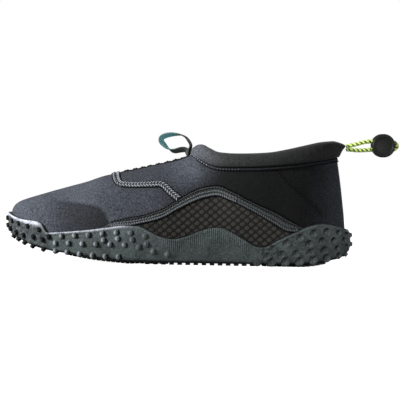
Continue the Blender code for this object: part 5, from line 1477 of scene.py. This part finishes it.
def makeFloor():
    # a square sheet of pale paper at height 0, bright enough to run into the white backdrop
    data = bpy.data.meshes.new("floor")
    data.from_pydata([(-4, -4, 0), (4, -4, 0), (4, 4, 0), (-4, 4, 0)], [], [(0, 1, 2, 3)])
    paper = bpy.data.materials.new("floorPaper")
    paper.use_nodes = True
    tree = paper.node_tree
    shader = tree.nodes["Principled BSDF"]
    shader.inputs["Base Color"].default_value = studio["paper"]
    shader.inputs["Roughness"].default_value = 0.9
    shader.inputs["Specular IOR Level"].default_value = 0.0
    glow = addNode(tree, "ShaderNodeEmission", {"Strength": studio["paperGlow"]})
    both = addNode(tree, "ShaderNodeAddShader", {0: shader.outputs[0], 1: glow.outputs[0]})
    forCamera(tree, shader.outputs[0], both.outputs[0], "Material Output")
    data.materials.append(paper)
    sheet = bpy.data.objects.new("floor", data)
    bpy.context.scene.collection.objects.link(sheet)


def makeWorld():
    # faint even light, and pure white where the camera looks past the floor
    world = bpy.data.worlds.new("studio")
    bpy.context.scene.world = world
    world.use_nodes = True
    tree = world.node_tree
    faint = tree.nodes["Background"]
    faint.inputs["Color"].default_value = (1, 1, 1, 1)
    faint.inputs["Strength"].default_value = studio["evenLight"]
    backdrop = addNode(tree, "ShaderNodeBackground", {"Color": (1, 1, 1, 1), "Strength": 1.0})
    forCamera(tree, faint.outputs[0], backdrop.outputs[0], "World Output")


def aimLamp(name, data, place, aim):
    lamp = bpy.data.objects.new(name, data)
    lamp.location = place
    lamp.rotation_euler = (Vector(aim) - Vector(place)).to_track_quat("-Z", "Y").to_euler()
    bpy.context.scene.collection.objects.link(lamp)


def softLight(name, place, size, power):
    data = bpy.data.lights.new(name, "AREA")
    data.size = size
    data.energy = power
    aimLamp(name, data, place, (0.0, 0.0, 0.05))


def heelLight(name, place, aim, angle, power):
    # a narrow spot with soft edges, so that the heel's studs stay readable
    data = bpy.data.lights.new(name, "SPOT")
    data.energy = power
    data.shadow_soft_size = 0.08
    data.spot_size = math.radians(angle)
    data.spot_blend = 1.0
    aimLamp(name, data, place, aim)


makeFloor()
makeWorld()
for lamp in studio["lamps"]:
    softLight(*lamp)
heelLight("heelSpot", *studio["spot"])

cameraData = bpy.data.cameras.new("camera")
cameraData.lens = 36 * studio["distance"] / studio["width"]
cameraData.sensor_width = 36
cameraData.clip_end = 20
camera = bpy.data.objects.new("camera", cameraData)
lift = math.radians(studio["elevation"])
back = Vector((0, -math.cos(lift), math.sin(lift)))
roll = math.radians(studio["roll"])
right = Vector((1, 0, 0))
up = back.cross(right)
tiltedRight = right * math.cos(roll) + up * math.sin(roll)
tiltedUp = up * math.cos(roll) - right * math.sin(roll)
camera.matrix_world = (Matrix.Translation(studio["target"] + back * studio["distance"])
                       @ Matrix((tiltedRight, tiltedUp, back)).transposed().to_4x4())
bpy.context.scene.collection.objects.link(camera)
bpy.context.scene.camera = camera
bpy.context.scene.view_settings.view_transform = "Standard"
